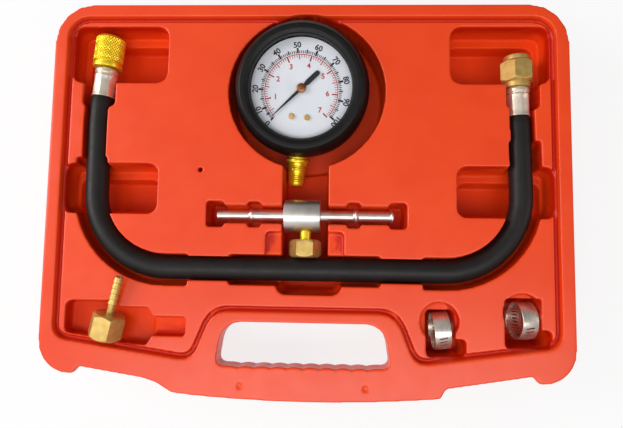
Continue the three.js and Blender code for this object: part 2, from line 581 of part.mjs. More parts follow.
const makeTray = () => {
  const outline = caseOutline();
  const groove = grooveOutline();
  const deep = offsetOutline(groove, tray.flange - tray.flangeOverhang);
  const hole = handleHoleOutline();
  const grooveZ = tray.height - tray.grooveDepth;
  const handleZ = tray.height - handle.thickness;
  const barBack = holeBackY + tray.wall;
  const draft = draftRun(tray.height, pocket.draft / 2);
  const handleBox = (inset, low, high) => block(-handle.halfLength + inset, handle.halfLength - inset,
    frontY - fit.overrun,
    barBack + inset, low, high);
  const foot = offsetOutline(deep, -draftRun(tray.height - tray.footChamfer, pocket.draft / 2));
  const body = joined([
    trimmed(deep, tray.footChamfer, tray.height - fit.seat, draft),
    trimmed(foot, 0, tray.footChamfer + fit.seat, tray.footChamfer),
    prism(outline, tray.height - tray.flangeThickness, tray.height),
    prism(outline, handleZ, tray.height).intersect(handleBox(0, handleZ, tray.height)),
  ]);
  const island = drafted(offsetOutline(groove, -tray.grooveWidth), deckZ - tray.grooveDepth, deckZ, 0)
    .intersect(block(-halfWidth, halfWidth, frontY, backY, 0, deckZ));
  const outer = cutBy(body, [
    drafted(groove, grooveZ, tray.height, tray.grooveDraft),
  ]).add(island);
  const ceiling = grooveZ - tray.wall;
  const roof = (solid) => solid.intersect(block(-halfWidth, halfWidth, frontY, backY, 0, ceiling));
  const hollow = roof(joined([
    trimmed(offsetOutline(deep, -tray.wall), tray.wall, tray.height, draft),
    prism(offsetOutline(outline, -tray.wall), handleZ + tray.wall, ceiling)
      .intersect(handleBox(tray.wall, handleZ + tray.wall, ceiling)),
  ]));
  const cavity = cutBy(hollow, [...pocketSolids(tray.wall),
    prism(offsetOutline(squared(handleHoleCorners()), tray.wall), 0, tray.height)]);
  const dimples = [-1, 1].map((side) => prism(circleOutline(side * handle.dimpleX,
    frontY + handle.dimpleBehind,
    handle.dimple / 2, 12), tray.height - handle.dimpleDepth, tray.height + fit.overrun));
  const pin = prism(circleOutline(tray.pinHoleX, tray.pinHoleY, tray.pinHole / 2, 12),
    ceiling - tray.wall, tray.height);
  return cutBy(outer, [...pocketSolids(0), prism(hole, handleZ - fit.overrun, tray.height + fit.overrun),
    ...dimples,
    cavity, pin]);
};

// Gauge, in its own frame: X right, Y to twelve o'clock, Z out of the dial, origin at the boot's back

const gaugePieces = () => {
  const canBack = boot.back + fit.seat;
  const canFront = canBack + can.depth;
  const bezelInner = can.radius + fit.seat;
  const bezelOuter = bezelInner + bezel.wall;
  const bootInner = bezelOuter + fit.seat;
  const gasketZ = canFront + fit.seat;
  const lensZ = gasketZ + gasket.thickness + fit.seat;
  const bezelZ = lensZ + lens.thickness + fit.seat;
  const bezelFront = bezelZ + bezel.face;
  const lipZ = bezelFront + fit.seat;
  const down = (solid) => placed(solid, new THREE.Matrix4().makeRotationX(Math.PI / 2)
    .premultiply(new THREE.Matrix4().makeTranslation(0, 0, gauge.stemHeight)));
  const radial = (radius, from, to, sides = 24) => down(rod(radius, from, to, sides));
  const blockTopZ = gauge.stemHeight - socket.blockDrop + socket.blockHeight / 2;
  const plateZ = blockTopZ + fit.seat;
  const frontPlateZ = plateZ + movement.plate + movement.space;
  const sectorZ = plateZ + movement.plate + movement.sectorLift;
  const linkZ = sectorZ + movement.sector + fit.seat;
  const springZ = linkZ + movement.linkThickness + fit.seat;
  const pivotY = -movement.pivotDrop;
  const dialTop = dial.height + dial.thickness;
  const pieces = {};

  const bootSolid = lathe([[boot.backOpening, 0], [boot.backRadius, 0],
    [boot.backRadius + boot.waist / 3, boot.back],
    [boot.radius, boot.waist], [boot.radius, boot.shoulder],
    [(boot.radius + boot.lipRadius) / 2, boot.height - boot.lip * 2],
    [boot.lipRadius, lipZ + boot.lip], [boot.lipInner, lipZ + boot.lip], [boot.lipInner, lipZ],
    [bootInner, lipZ],
    [bootInner, boot.back], [boot.backOpening, boot.back]], 32);
  pieces.gauge_boot = [cutBy(bootSolid, [radial(socket.collar + fit.running, can.radius,
    boot.radius + fit.overrun)]), rubberBlack()];

  const canSolid = lathe([[0, canBack], [can.radius, canBack], [can.radius, canFront],
    [can.radius - can.wall, canFront],
    [can.radius - can.wall, canBack + can.wall], [0, canBack + can.wall]], 24);
  const plugHole = rod(can.plugHole, 0, canBack + can.wall + fit.overrun,
    16).translate([0, movement.pivotDrop, 0]);
  pieces.gauge_can = [cutBy(canSolid, [radial(socket.neck + fit.seat, can.radius - fit.overrun,
    can.radius + fit.overrun, 20), plugHole]),
    blackEnamel()];
  pieces.blowout_plug = [lathe([[0, canBack - plug.thickness / 2],
    [plug.radius + plug.rim, canBack - plug.thickness / 2],
    [plug.radius + plug.rim, canBack - fit.seat], [plug.radius - fit.seat, canBack - fit.seat],
    [plug.radius - fit.seat, canBack + can.wall + fit.seat], [0, canBack + can.wall + fit.seat]], 16)
    .translate([0, movement.pivotDrop, 0]), rubberBlack()];
  pieces.gauge_bezel = [lathe([[bezelInner, canFront - bezel.skirt], [bezelOuter, canFront - bezel.skirt],
    [bezelOuter, bezelFront - bezel.face / 2], [bezelOuter - bezel.face / 2, bezelFront],
    [bezel.opening, bezelFront],
    [bezel.opening, bezelZ], [bezelInner, bezelZ]], 32), blackEnamel()];
  pieces.lens_gasket = [lathe([[can.radius - gasket.width, gasketZ], [can.radius - fit.seat, gasketZ],
    [can.radius - fit.seat, gasketZ + gasket.thickness], [can.radius - gasket.width,
    gasketZ + gasket.thickness]], 24), rubberBlack()];
  pieces.gauge_lens = [lathe([[0, lensZ], [can.radius - fit.seat, lensZ],
    [can.radius - fit.seat, lensZ + lens.thickness],
    [0, lensZ + lens.thickness]], 28), clearPlastic()];

  const screwAt = (side) => [side * dial.screwX, -dial.screwDrop, 0];
  const dialHoles = [-1, 1].map((side) => rod(dialScrew.shank + fit.seat, dial.height - fit.overrun,
    dialTop + fit.overrun, 12)
    .translate(screwAt(side)));
  pieces.gauge_dial = [cutBy(lathe([[dial.hole, dial.height], [dial.radius, dial.height],
    [dial.radius, dialTop],
    [dial.hole, dialTop]], 28), dialHoles), dialWhite()];
  for (const [name, side] of [['dial_screw_left', -1], ['dial_screw_right', 1]]) {
    pieces[name] = [lathe([[0, dialTop + fit.seat - dialScrew.length - fit.seat],
      [dialScrew.shank, dialTop - dialScrew.length],
      [dialScrew.shank, dialTop + fit.seat], [dialScrew.head, dialTop + fit.seat],
      [dialScrew.head, dialTop + dialScrew.headHeight],
      [0, dialTop + dialScrew.headHeight + fit.seat]], 12).translate(screwAt(side)), brassBright()];
  }

  // pointer, drawn pointing along +X and turned to the zero mark
  const tip = pointerShares.tip * pointer.tail;
  const pointerZ = dialTop + pointer.lift + fit.seat;
  const blade = prism(roundedOutline([[pointer.length, -tip / 4], [pointer.length, tip / 4],
    [pointer.hub, pointerShares.waist * pointer.hub], [-pointer.hub, pointerShares.waist * pointer.hub],
    [-pointer.tail, pointerShares.tail * pointer.hub, pointer.hub / 3],
    [-pointer.tail, -pointerShares.tail * pointer.hub, pointer.hub / 3],
    [-pointer.hub, -pointerShares.waist * pointer.hub], [pointer.hub,
    -pointerShares.waist * pointer.hub]]),
  pointerZ, pointerZ + pointer.thickness);
  const arborTop = pointerZ + pointer.hubHeight - 2 * fit.seat;
  const hub = rod(pointer.hub, pointerZ - pointer.lift / 2, pointerZ + pointer.hubHeight, 20);
  const hubHole = rod(movement.arbor + fit.seat, pointerZ - fit.overrun, arborTop + fit.seat, 12);
  pieces.gauge_pointer = [placed(cutBy(blade.add(hub), [hubHole]),
    new THREE.Matrix4().makeRotationZ(THREE.MathUtils.degToRad(pointer.start))), blackEnamel()];

  const pinionZ = sectorZ - (movement.pinionHeight - movement.sector) / 2;
  pieces.pinion_arbor = [lathe([[0, plateZ], [movement.arbor, plateZ], [movement.arbor, pinionZ],
    [movement.pinion - fit.running / 2, pinionZ], [movement.pinion - fit.running / 2,
    pinionZ + movement.pinionHeight],
    [movement.arbor, pinionZ + movement.pinionHeight], [movement.arbor, arborTop], [0, arborTop]], 12),
    brassBright()];

  // sector: a toothed rim reaching back from the pinion line, a web, a hub and a tail
  const swing = THREE.MathUtils.degToRad(pointer.sweep / sectorRatio);
  const rim = movement.pivotDrop - movement.pinion - fit.running / 2;
  const sectorTurn = (angle, radius) => [radius * Math.cos(angle), pivotY + radius * Math.sin(angle)];
  const spare = swing * movementShares.rimSpare;
  const rimPoints = arcPoints(0, pivotY, rim, Math.PI / 2 + spare, Math.PI / 2 - swing - spare, 8);
  const web = prism(roundedOutline([...rimPoints, sectorTurn(0, movement.webFoot),
    sectorTurn(Math.PI, movement.webFoot)]),
    sectorZ, sectorZ + movement.sector);
  const tail = THREE.MathUtils.degToRad(movement.tailAngle);
  const tailPoint = sectorTurn(tail, movement.tailLength);
  const across = new THREE.Vector2(-Math.sin(tail),
    Math.cos(tail)).multiplyScalar(movement.linkWidth / 2);
  const arm = prism([[0, pivotY, 1], [...tailPoint, 1], [...tailPoint, -1],
    [0, pivotY, -1]].map(([x, y, s]) => new THREE.Vector2(
    x + s * across.x, y + s * across.y)), sectorZ, sectorZ + movement.sector);
  const eye = rod(movement.linkWidth / 2 + fit.seat, sectorZ, sectorZ + movement.sector,
    14).translate([...tailPoint, 0]);
  const eyePin = rod(movement.linkPin, sectorZ, linkZ + movement.linkThickness,
    10).translate([...tailPoint, 0]);
  const sectorHub = rod(movement.sectorHub, sectorZ, sectorZ + movement.sector,
    16).translate([0, pivotY, 0]);
  const sectorShaft = rod(movement.sectorArbor, plateZ, frontPlateZ + movement.plate,
    12).translate([0, pivotY, 0]);
  pieces.sector_gear = [joined([web, arm, eye, eyePin, sectorHub, sectorShaft]), brassBright()];

  // link from the sector's tail to the lug at the end of the pressure tube
  const endAngle = THREE.MathUtils.degToRad(bourdon.end);
  const lugPoint = [(bourdon.radius - bourdon.strip) * Math.cos(endAngle),
    (bourdon.radius - bourdon.strip) * Math.sin(endAngle)];
  const linkLow = linkZ;
  const linkHigh = linkZ + movement.linkThickness;
  const linkDirection = new THREE.Vector2(lugPoint[0] - tailPoint[0], lugPoint[1] - tailPoint[1]);
  const linkSide = linkDirection.clone().rotateAround(new THREE.Vector2(),
    Math.PI / 2).setLength(movement.linkWidth / 3);
  const linkBar = prism([[tailPoint, 1], [lugPoint, 1], [lugPoint, -1],
    [tailPoint, -1]].map(([[x, y], s]) => new THREE.Vector2(
    x + s * linkSide.x, y + s * linkSide.y)), linkLow, linkHigh);
  const linkEnds = [tailPoint, lugPoint].map((point) => rod(movement.linkWidth / 2, linkLow, linkHigh,
    14).translate([...point, 0]));
  const linkHole = rod(movement.linkPin + fit.running, linkLow - fit.overrun, linkHigh + fit.overrun,
    12).translate([...tailPoint, 0]);
  pieces.drive_link = [cutBy(joined([linkBar, ...linkEnds]), [linkHole]), brassBright()];

  // movement plates, pillars and hairspring
  const plateOutline = boxOutline(-movement.plateWidth / 2, movement.plateWidth / 2, -movement.plateLow,
    movement.plateTop,
    movement.corner);
  const plateHoles = (low) => [
    rod(movement.arbor + fit.running, low - fit.overrun, low + fit.overrun, 12),
    rod(movement.sectorArbor + fit.running, low - fit.overrun, low + fit.overrun,
    12).translate([0, pivotY, 0]),
  ];
  pieces.movement_back_plate = [cutBy(prism(plateOutline, plateZ, plateZ + movement.plate),
    plateHoles(plateZ)), brassBright()];
  const bossTop = dial.height - fit.seat;
  const bosses = [-1, 1].map((side) => rod(movement.bossRadius, frontPlateZ + movement.plate / 2, bossTop,
    14).translate(screwAt(side)));
  const bossHoles = [-1, 1].map((side) => rod(dialScrew.shank + fit.seat,
    dialTop - dialScrew.length - 2 * fit.seat,
    bossTop + fit.overrun, 12).translate(screwAt(side)));
  pieces.movement_front_plate = [cutBy(joined([prism(plateOutline, frontPlateZ,
    frontPlateZ + movement.plate), ...bosses]),
    [...plateHoles(frontPlateZ), ...bossHoles]), brassBright()];
  for (const [name, side] of [['movement_pillar_left', -1], ['movement_pillar_right', 1]]) {
    pieces[name] = [rod(movement.pillar, plateZ + movement.plate + fit.seat, frontPlateZ - fit.seat, 12)
      .translate([side * movement.pillarX, movement.pillarY, 0]), brassBright()];
  }
  const spiral = Array.from({ length: movement.springTurns * 12 + 1 }, (_, k) => {
    const angle = (2 * Math.PI * k) / 12;
    const radius = movement.springInner + (movement.springPitch * k) / 12;
    return new THREE.Vector3(radius * Math.cos(angle), radius * Math.sin(angle), springZ);
  });
  const strip = new THREE.Shape([[-1, -1], [1, -1], [1, 1], [-1, 1]].map(([x, y]) => new THREE.Vector2(
    (x * movement.springStrip) / 2, (y * movement.springStrip) / 4)));
  pieces.hairspring = [solidOf(new THREE.ExtrudeGeometry(strip, { steps: movement.springTurns * 12,
    extrudePath: new THREE.CatmullRomCurve3(spiral) })).translate([0, 0, movement.springStrip]),
    bronze()];

  // pressure tube, its end lug and the socket with the stem
  const startAngle = THREE.MathUtils.degToRad(bourdon.start);
  const tubeRing = (radius) => arcPoints(0, 0, radius, startAngle, endAngle,
    24).map((point) => new THREE.Vector2(...point));
  const tubeBand = [...tubeRing(bourdon.radius + bourdon.strip / 2),
    ...tubeRing(bourdon.radius - bourdon.strip / 2).reverse()];
  const tubeLow = gauge.stemHeight - bourdon.height / 2;
  pieces.bourdon_tube = [prism(tubeBand, tubeLow, tubeLow + bourdon.height), bronze()];
  const lugX = (bourdon.radius - bourdon.strip / 2 - fit.seat - bourdon.lug) * Math.cos(endAngle);
  const lugY = (bourdon.radius - bourdon.strip / 2 - fit.seat - bourdon.lug) * Math.sin(endAngle);
  pieces.tube_end_lug = [rod(bourdon.lug, tubeLow, linkZ - fit.seat, 14).translate([lugX, lugY, 0]),
    brassBright()];

  const blockLow = blockTopZ - socket.blockHeight;
  const blockSolid = block(-socket.blockWidth / 2, socket.blockWidth / 2, -can.radius + can.wall * 3,
    -socket.blockTop,
    blockLow, blockTopZ);
  const wrenchFrom = can.radius + fit.seat;
  const wrenchTo = wrenchFrom + socket.wrenchLength - socket.collarLength;
  const threadEnd = gauge.stemReach;
  const threadFrom = threadEnd - socket.threadLength;
  const shank = down(lathe([[0, can.radius - can.wall * 4], [socket.neck, can.radius - can.wall * 4],
    [socket.neck, wrenchFrom],
    [socket.wrenchWidth / 2, wrenchFrom], [socket.wrenchWidth / 2, wrenchTo], [socket.collar, wrenchTo],
    [socket.collar, wrenchTo + socket.collarLength], [socket.relief, threadFrom - fit.seat],
    [socket.thread, threadFrom],
    [socket.thread - socket.threadTaper, threadEnd - socket.tipLength], [socket.tipRadius, threadEnd],
    [0, threadEnd]], 24));
  const socketBore = radial(socket.bore, socket.blockTop + can.wall * 3, threadEnd + fit.overrun, 12);
  pieces.gauge_socket = [cutBy(joined([blockSolid, shank]), [socketBore]), brassGold()];
  return pieces;
};

// Tee and its brass branch, in a frame whose X runs along the tee and whose -Y points down the branch

const teePieces = () => {
  const start = tee.blockShift - tee.blockLength / 2;
  const end = tee.blockShift + tee.blockLength / 2;
  const leftBeadEnd = start - tee.leftTubeLength;
  const leftTip = leftBeadEnd - tee.leftBeadLength;
  const leftEnd = leftTip - tee.leftTipLength;
  const rightBead = end + tee.rightTubeLength;
  const rightTip = rightBead + tee.rightBeadLength;
  const flange = rightTip + tee.rightTipLength;
  const rightEnd = flange + tee.endBeadLength;
  const blend = (tee.rightBead - tee.rightTube) / 2;
  const alongX = new THREE.Matrix4().makeRotationY(Math.PI / 2);
  const bar = placed(lathe([[0, leftEnd], [tee.leftTip - tee.bevel, leftEnd],
    [tee.leftTip, leftEnd + tee.bevel], [tee.leftTip, leftTip - tee.bevel],
    [tee.leftTube, leftTip], [tee.leftBead, leftTip + tee.beadBevel],
    [tee.leftBead, leftBeadEnd - tee.beadBevel], [tee.leftTube, leftBeadEnd],
    [tee.leftTube, start], [tee.block - tee.bevel, start], [tee.block, start + tee.bevel],
    [tee.block, end - tee.bevel], [tee.block - tee.bevel, end],
    [tee.rightTube, end], [tee.rightTube, rightBead], [tee.rightBead - blend, rightBead + blend],
    [tee.rightBead, rightBead + 2 * blend],
    [tee.rightTube, rightTip], [tee.rightTube, flange], [tee.endBead, flange + tee.beadBevel],
    [tee.endBead, rightEnd - tee.beadBevel],
    [tee.rightTube, rightEnd], [0, rightEnd]], 20), alongX);
  const bore = placed(rod(tee.bore, leftEnd - fit.overrun, rightEnd + fit.overrun, 12), alongX);
  const down = new THREE.Matrix4().makeRotationX(Math.PI / 2);
  const port = placed(rod(adapter.neck + fit.seat, tee.block - tee.socketDepth, tee.block + fit.overrun,
    20), down);
  const crossBore = placed(rod(tee.bore, 0, tee.block, 12), down);

  const hexFrom = tee.block + adapter.neckLength;
  const hexTo = hexFrom + adapter.hexLength;
  const hexagon = hexBar(adapter.hex, hexFrom, hexTo, adapter.chamfer);
  const neck = rod(adapter.neck, tee.block - tee.socketDepth + fit.seat, hexFrom + fit.seat, 20);
  const throughBore = rod(adapter.bore, 0, hexTo + fit.overrun, 12);
  const mouth = rod(adapter.socket, hexTo - adapter.socketDepth, hexTo + fit.overrun, 20);
  return {
    tee_body: [cutBy(bar, [bore, port, crossBore]), aluminiumTurned()],
    branch_adapter: [placed(cutBy(hexagon.add(neck), [throughBore, mouth]), down), brassBright()],
  };
};

// Hose with its two crimped ends

const routeCurve = () => new THREE.CatmullRomCurve3(routePoints.map(([x, y]) =>
  new THREE.Vector3(x, y, hoseZ)), false, 'centripetal');

const endFrame = (share, sign) => {
  const curve = routeCurve();
  const at = curve.getPointAt(share);
  const out = curve.getTangentAt(share).multiplyScalar(sign);
  const side = new THREE.Vector3(out.y, -out.x, 0);
  return new THREE.Matrix4().makeBasis(side, new THREE.Vector3(0, 0, 1).negate(), out).setPosition(at);
};

// Pieces of one hose end, along +Z outwards from the hose's cut end.
const hoseEndPieces = (length, nut) => {
  const inside = fit.seat;
  const collarEnd = inside + nipple.collarLength;
  const neckEnd = collarEnd + nut.neckLength + nut.endWall - fit.seat;
  const flangeEnd = neckEnd + nipple.flangeLength;
  const ferruleFrom = -length;
  const groove = -ferrule.ringLength;
  const shell = lathe([[hose.crimped / 2 + fit.seat, ferruleFrom], [ferrule.radius, ferruleFrom],
    [ferrule.radius, groove - ferrule.ringLength / 2], [ferrule.radius - ferrule.ring, groove],
    [ferrule.radius, groove + ferrule.ringLength / 2],
    [ferrule.radius, -fit.seat], [ferrule.radius - ferrule.ring, collarEnd - fit.seat],
    [nipple.neck + 2 * fit.seat, collarEnd - fit.seat],
    [nipple.neck + 2 * fit.seat, inside - fit.seat / 3], [hose.crimped / 2 + fit.seat,
    inside - fit.seat / 3]], 18);
  const core = lathe([[nipple.bore, -nipple.tailLength], [nipple.tail - fit.seat, -nipple.tailLength],
    [nipple.tail, -nipple.tailLength + nipple.flangeRim],
    [nipple.tail, fit.seat / 3], [nipple.neck, fit.seat], [nipple.neck, neckEnd],
    [nipple.flange, neckEnd], [nipple.flange, neckEnd + nipple.flangeRim],
    [nipple.neck, flangeEnd], [nipple.bore, flangeEnd]], 14);
  const nutFrom = neckEnd - fit.seat - nut.endWall;
  const nutTo = nutFrom + nut.length;
  const hollow = [rod(nipple.neck + fit.running, nutFrom - fit.overrun, nutTo, 20),
    rod(nut.socket, neckEnd - fit.seat, nutTo + fit.overrun, 24)];
  return { shell, core, nutFrom, nutTo, hollow, flangeEnd };
};

const hosePieces = (leftFrame, rightFrame) => {
  const curve = routeCurve();
  const ring = (radius, sides) => circleOutline(0, 0, radius, sides);
  const section = new THREE.Shape(ring(hoseRadius, hose.sides));
  section.holes.push(new THREE.Path(ring(hose.bore / 2, hose.sides - 4)));
  const tube = solidOf(new THREE.ExtrudeGeometry(section, { steps: hose.steps, extrudePath: curve }));
  const stripOff = (length, frame) => placed(lathe([[hose.crimped / 2, -length - fit.seat],
    [hose.outer, -length - fit.seat],
    [hose.outer, fit.overrun], [hose.crimped / 2, fit.overrun]], 24), frame);
  return {
    hose: [cutBy(tube, [stripOff(ferrule.leftLength, leftFrame),
      stripOff(ferrule.rightLength, rightFrame)]), hoseBlack()],
  };
};

const leftEndPieces = () => {
  const end = hoseEndPieces(ferrule.leftLength, knurledNut);
  const nut = cutBy(lathe([[0, end.nutFrom], [knurledNut.radius - knurledNut.chamfer / 2, end.nutFrom],
    [knurledNut.radius, end.nutFrom + knurledNut.chamfer / 2],
    [knurledNut.radius, end.nutTo - knurledNut.chamfer],
    [knurledNut.radius - knurledNut.chamfer, end.nutTo], [0, end.nutTo]], 28), end.hollow);
  const sealZ = end.flangeEnd + fit.seat;
  const sealRadius = knurledNut.socket - fit.seat;
  const seal = lathe([[washer.hole, sealZ], [sealRadius, sealZ], [sealRadius, sealZ + washer.thickness],
    [washer.hole, sealZ + washer.thickness]], 20);
  return {
    ferrule_left: [end.shell, nickelPlate()],
    nipple_left: [end.core, brassBright()],
    knurled_nut: [nut, brassGold()],
    nut_seal: [seal, rubberBlack()],
  };
};

const rightEndPieces = () => {
  const end = hoseEndPieces(ferrule.rightLength, hexNut);
  const hexFrom = end.nutFrom + hexNut.collarLength;
  const collar = lathe([[0, end.nutFrom], [hexNut.collar - hexNut.chamfer / 2, end.nutFrom],
    [hexNut.collar, end.nutFrom + hexNut.chamfer / 2], [hexNut.collar, hexFrom + hexNut.chamfer],
    [0, hexFrom + hexNut.chamfer]], 24);
  const hexTo = end.nutTo - hexNut.mouthLength;
  const mouth = lathe([[0, hexTo - hexNut.chamfer], [hexNut.collar, hexTo - hexNut.chamfer],
    [hexNut.collar, end.nutTo - hexNut.chamfer / 2], [hexNut.collar - hexNut.chamfer / 2, end.nutTo],
    [0, end.nutTo]], 24);
  const outside = joined([hexBar(hexNut.across, hexFrom, hexTo, hexNut.chamfer), collar, mouth]);
  const nut = cutBy(outside, end.hollow);
  return {
    ferrule_right: [end.shell, nickelPlate()],
    nipple_right: [end.core, brassBright()],
    hex_nut: [nut, brassBright()],
  };
};

// Hose barb, along +Z from the open end of its hexagon to the tip of its stem

const makeBarb = () => {
  const tip = barb.hexLength + barb.stemLength;
  const ridges = Array.from({ length: barb.ridges }, (_, k) => {
    const peak = tip - barb.tipLength - (barb.ridges - 1 - k) * barb.ridgePitch;
    return [[barb.stem, peak - barb.ridgePitch * barbShares.ridgeFoot],
      [barb.ridge, peak - barb.ridgePitch * barbShares.ridgeHeel]];
  }).flat();
  const root = barb.hexLength - barb.tipLength;
  const stem = lathe([[0, root], [barb.stem, root], ...ridges, [barb.stem, tip], [0, tip]], 12);
  const body = hexBar(barb.hex, 0, barb.hexLength, barb.chamfer).add(stem);
  return cutBy(body, [rod(barb.bore, 0, tip + fit.overrun, 12),
    rod(barb.socket, -fit.overrun, barb.socketDepth, 20)]);
};

const barbMatrix = () => {
  const heading = THREE.MathUtils.degToRad(barb.heading);
  const rise = THREE.MathUtils.degToRad(barb.tilt);
  const out = new THREE.Vector3(Math.cos(heading) * Math.cos(rise), Math.sin(heading) * Math.cos(rise),
    Math.sin(rise));
  const side = new THREE.Vector3(Math.sin(heading), -Math.cos(heading), 0);
  const up = new THREE.Vector3().crossVectors(out, side);
  const start = new THREE.Vector3(barbX, hoseY - barb.toHose, deckZ - barbPocket.depth + barb.lift);
  return new THREE.Matrix4().makeBasis(side, up, out).setPosition(start.addScaledVector(out,
    -barb.hexLength / 2));
};

// Worm drive clamp, ring axis along X, housing at the top and screw along Y

const clampPieces = () => {
  const outer = clamp.outer / 2;
  const alongX = new THREE.Matrix4().makeRotationY(Math.PI / 2);
  const band = placed(lathe([[outer - clamp.band, -clamp.width / 2], [outer, -clamp.width / 2],
    [outer, clamp.width / 2],
    [outer - clamp.band, clamp.width / 2]], 32), alongX);
  const foot = outer + fit.seat;
  const screwZ = foot + clamp.housingHeight / 2;
  const half = clamp.housing / 2;
  const shell = block(-clamp.housingWidth / 2, clamp.housingWidth / 2, -half, half, outer - clamp.band,
    foot + clamp.housingHeight);
  const alongY = new THREE.Matrix4().makeRotationX(Math.PI / 2);
  const bed = placed(rod(outer + fit.seat, -clamp.width, clamp.width, 32), alongX);
  const tunnel = placed(rod(clamp.screw + fit.running, -clamp.housing, clamp.housing, 18),
    alongY).translate([0, 0, screwZ]);
  const head = prism(hexOutline(clamp.head), 0, clamp.headHeight);
  const slot = block(-clamp.head, clamp.head, -clamp.slot / 2, clamp.slot / 2,
    clamp.headHeight - clamp.slotDepth, clamp.headHeight + fit.overrun);
  const screw = cutBy(joined([head, rod(clamp.screw, -clamp.bodyLength, fit.seat, 16)]), [slot]);
  return {
    band, housing: cutBy(shell, [bed, tunnel]),
    screw: placed(screw, alongY).translate([0, -half - fit.seat, screwZ]),
  };
};

// Assembly

const fuelPressureTester = new THREE.Group();
fuelPressureTester.name = 'fuel_pressure_tester';
fuelPressureTester.add(meshOf('case_tray', makeTray(), plasticRed()));

const addGroup = (pieces, matrix) => {
  const group = new THREE.Group();
  if (matrix) matrix.decompose(group.position, group.quaternion, group.scale);
  for (const [name, [solid, material]] of Object.entries(pieces)) group.add(meshOf(name, solid,
    material));
  fuelPressureTester.add(group);
  return group;
};

addGroup(gaugePieces(), gaugeMatrix);
addGroup(teePieces(), new THREE.Matrix4().makeTranslation(0, teeY, teeZ));
const leftFrame = endFrame(1, 1);
const rightFrame = endFrame(0, -1);
addGroup(hosePieces(leftFrame, rightFrame));
addGroup(leftEndPieces(), leftFrame);
addGroup(rightEndPieces(), rightFrame);
addGroup({ hose_barb: [makeBarb(), brassBright()] }, barbMatrix());

for (const [side, place] of [['left', leftClamp], ['right', rightClamp]]) {
  const { band, housing, screw } = clampPieces();
  const turn = THREE.MathUtils.degToRad(place.turn);
  const lean = THREE.MathUtils.degToRad(-place.lean);
  const roll = THREE.MathUtils.degToRad(-place.roll);
  const matrix = new THREE.Matrix4().compose(
    new THREE.Vector3(halfWidth - place.fromSide, hoseY - place.toHose, deckZ - clamp.sink - clamp.outer / 2),
    new THREE.Quaternion().setFromEuler(new THREE.Euler(roll, lean, turn, 'ZYX')),
    new THREE.Vector3(1, 1, 1),
  );
  addGroup({
    [`clamp_${side}_band`]: [band, stainless()],
    [`clamp_${side}_housing`]: [housing, stainless()],
    [`clamp_${side}_screw`]: [screw, stainless()],
  }, matrix);
}

export default fuelPressureTester;
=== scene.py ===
# %% [markdown]
# # A fuel pressure tester in its carry case
# The case is one moulded shell. In its pockets lie a pressure gauge in a rubber boot, a tee with
# a brass branch, a hose with a coupling nut at each end, a hose barb and two worm drive clamps.
# The CAD model already has every piece at its real size, so this script only gives each one its
# finish, and builds a finer mesh where the CAD solid is too plain to be seen from close by.

# %% Load the frame
import json
import math
from functools import partialmethod

import bmesh
import bpy
import numpy as np
from mathutils import Matrix, Vector
from mathutils.bvhtree import BVHTree


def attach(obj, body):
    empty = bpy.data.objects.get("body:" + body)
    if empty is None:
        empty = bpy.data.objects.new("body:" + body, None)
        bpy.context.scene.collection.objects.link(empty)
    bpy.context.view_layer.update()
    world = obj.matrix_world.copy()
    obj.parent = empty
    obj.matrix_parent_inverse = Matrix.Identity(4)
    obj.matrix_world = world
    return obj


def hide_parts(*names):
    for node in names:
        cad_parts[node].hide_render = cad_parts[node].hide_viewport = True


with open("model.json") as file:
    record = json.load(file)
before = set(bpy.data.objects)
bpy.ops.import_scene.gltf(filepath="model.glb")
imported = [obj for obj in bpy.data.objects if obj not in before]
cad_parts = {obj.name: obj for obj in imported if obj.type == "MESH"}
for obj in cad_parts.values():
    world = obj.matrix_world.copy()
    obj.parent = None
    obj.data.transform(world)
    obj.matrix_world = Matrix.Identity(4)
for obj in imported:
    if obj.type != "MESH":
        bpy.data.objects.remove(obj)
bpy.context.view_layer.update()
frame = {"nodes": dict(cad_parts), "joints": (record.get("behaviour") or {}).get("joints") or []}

scene = bpy.context.scene
nodes = frame["nodes"]
joints = {joint["name"]: joint for joint in frame["joints"]}
mm = 0.001
print("pieces in the frame:", len(nodes))

# %% [markdown]
# ## Camera
# The photograph looks almost straight down into the case, from a little in front of its middle.
# A camera could be aimed by eye. Here its place and its three turns were worked out from the
# straight edges of the case, so the render can be laid over the photograph.

# %% Camera
photo_width = 623
focal_pixels = 550.0
camera_place = (0.015475, -0.036192, 0.344235)
camera_data = bpy.data.cameras.new("camera")
camera_data.sensor_width = 36.0
camera_data.lens = focal_pixels / photo_width * camera_data.sensor_width
camera_data.clip_start = 0.01
camera_data.clip_end = 20.0
camera = bpy.data.objects.new("camera", camera_data)
turn = (Matrix.Rotation(0.016527, 4, "Z") @ Matrix.Rotation(0.037419, 4, "Y")
        @ Matrix.Rotation(0.088279, 4, "X"))
camera.matrix_world = Matrix.Translation(camera_place) @ turn
scene.collection.objects.link(camera)
scene.camera = camera
print("lens", round(camera_data.lens, 2), "mm")

# %% [markdown]
# ## Nodes written as formulas
# Light, finishes and many shapes are node trees. Written out, each node and each link would take
# a line of its own. Two helpers keep the trees short: one sets the inputs of a node or links
# them, and one lets the maths nodes be written like a formula.

# %% Node helpers
def put(tree, kind, inputs=None, **settings):
    """Adds a node, sets or links each named input, and gives the outputs of the node."""
    node = tree.nodes.new(kind)
    for key, value in settings.items():
        setattr(node, key, value)
    for key, value in (inputs or {}).items():
        value = value.socket if isinstance(value, Formula) else value
        if isinstance(value, bpy.types.NodeSocket):
            tree.links.new(value, node.inputs[key])
        else:
            node.inputs[key].default_value = value
    return node.outputs


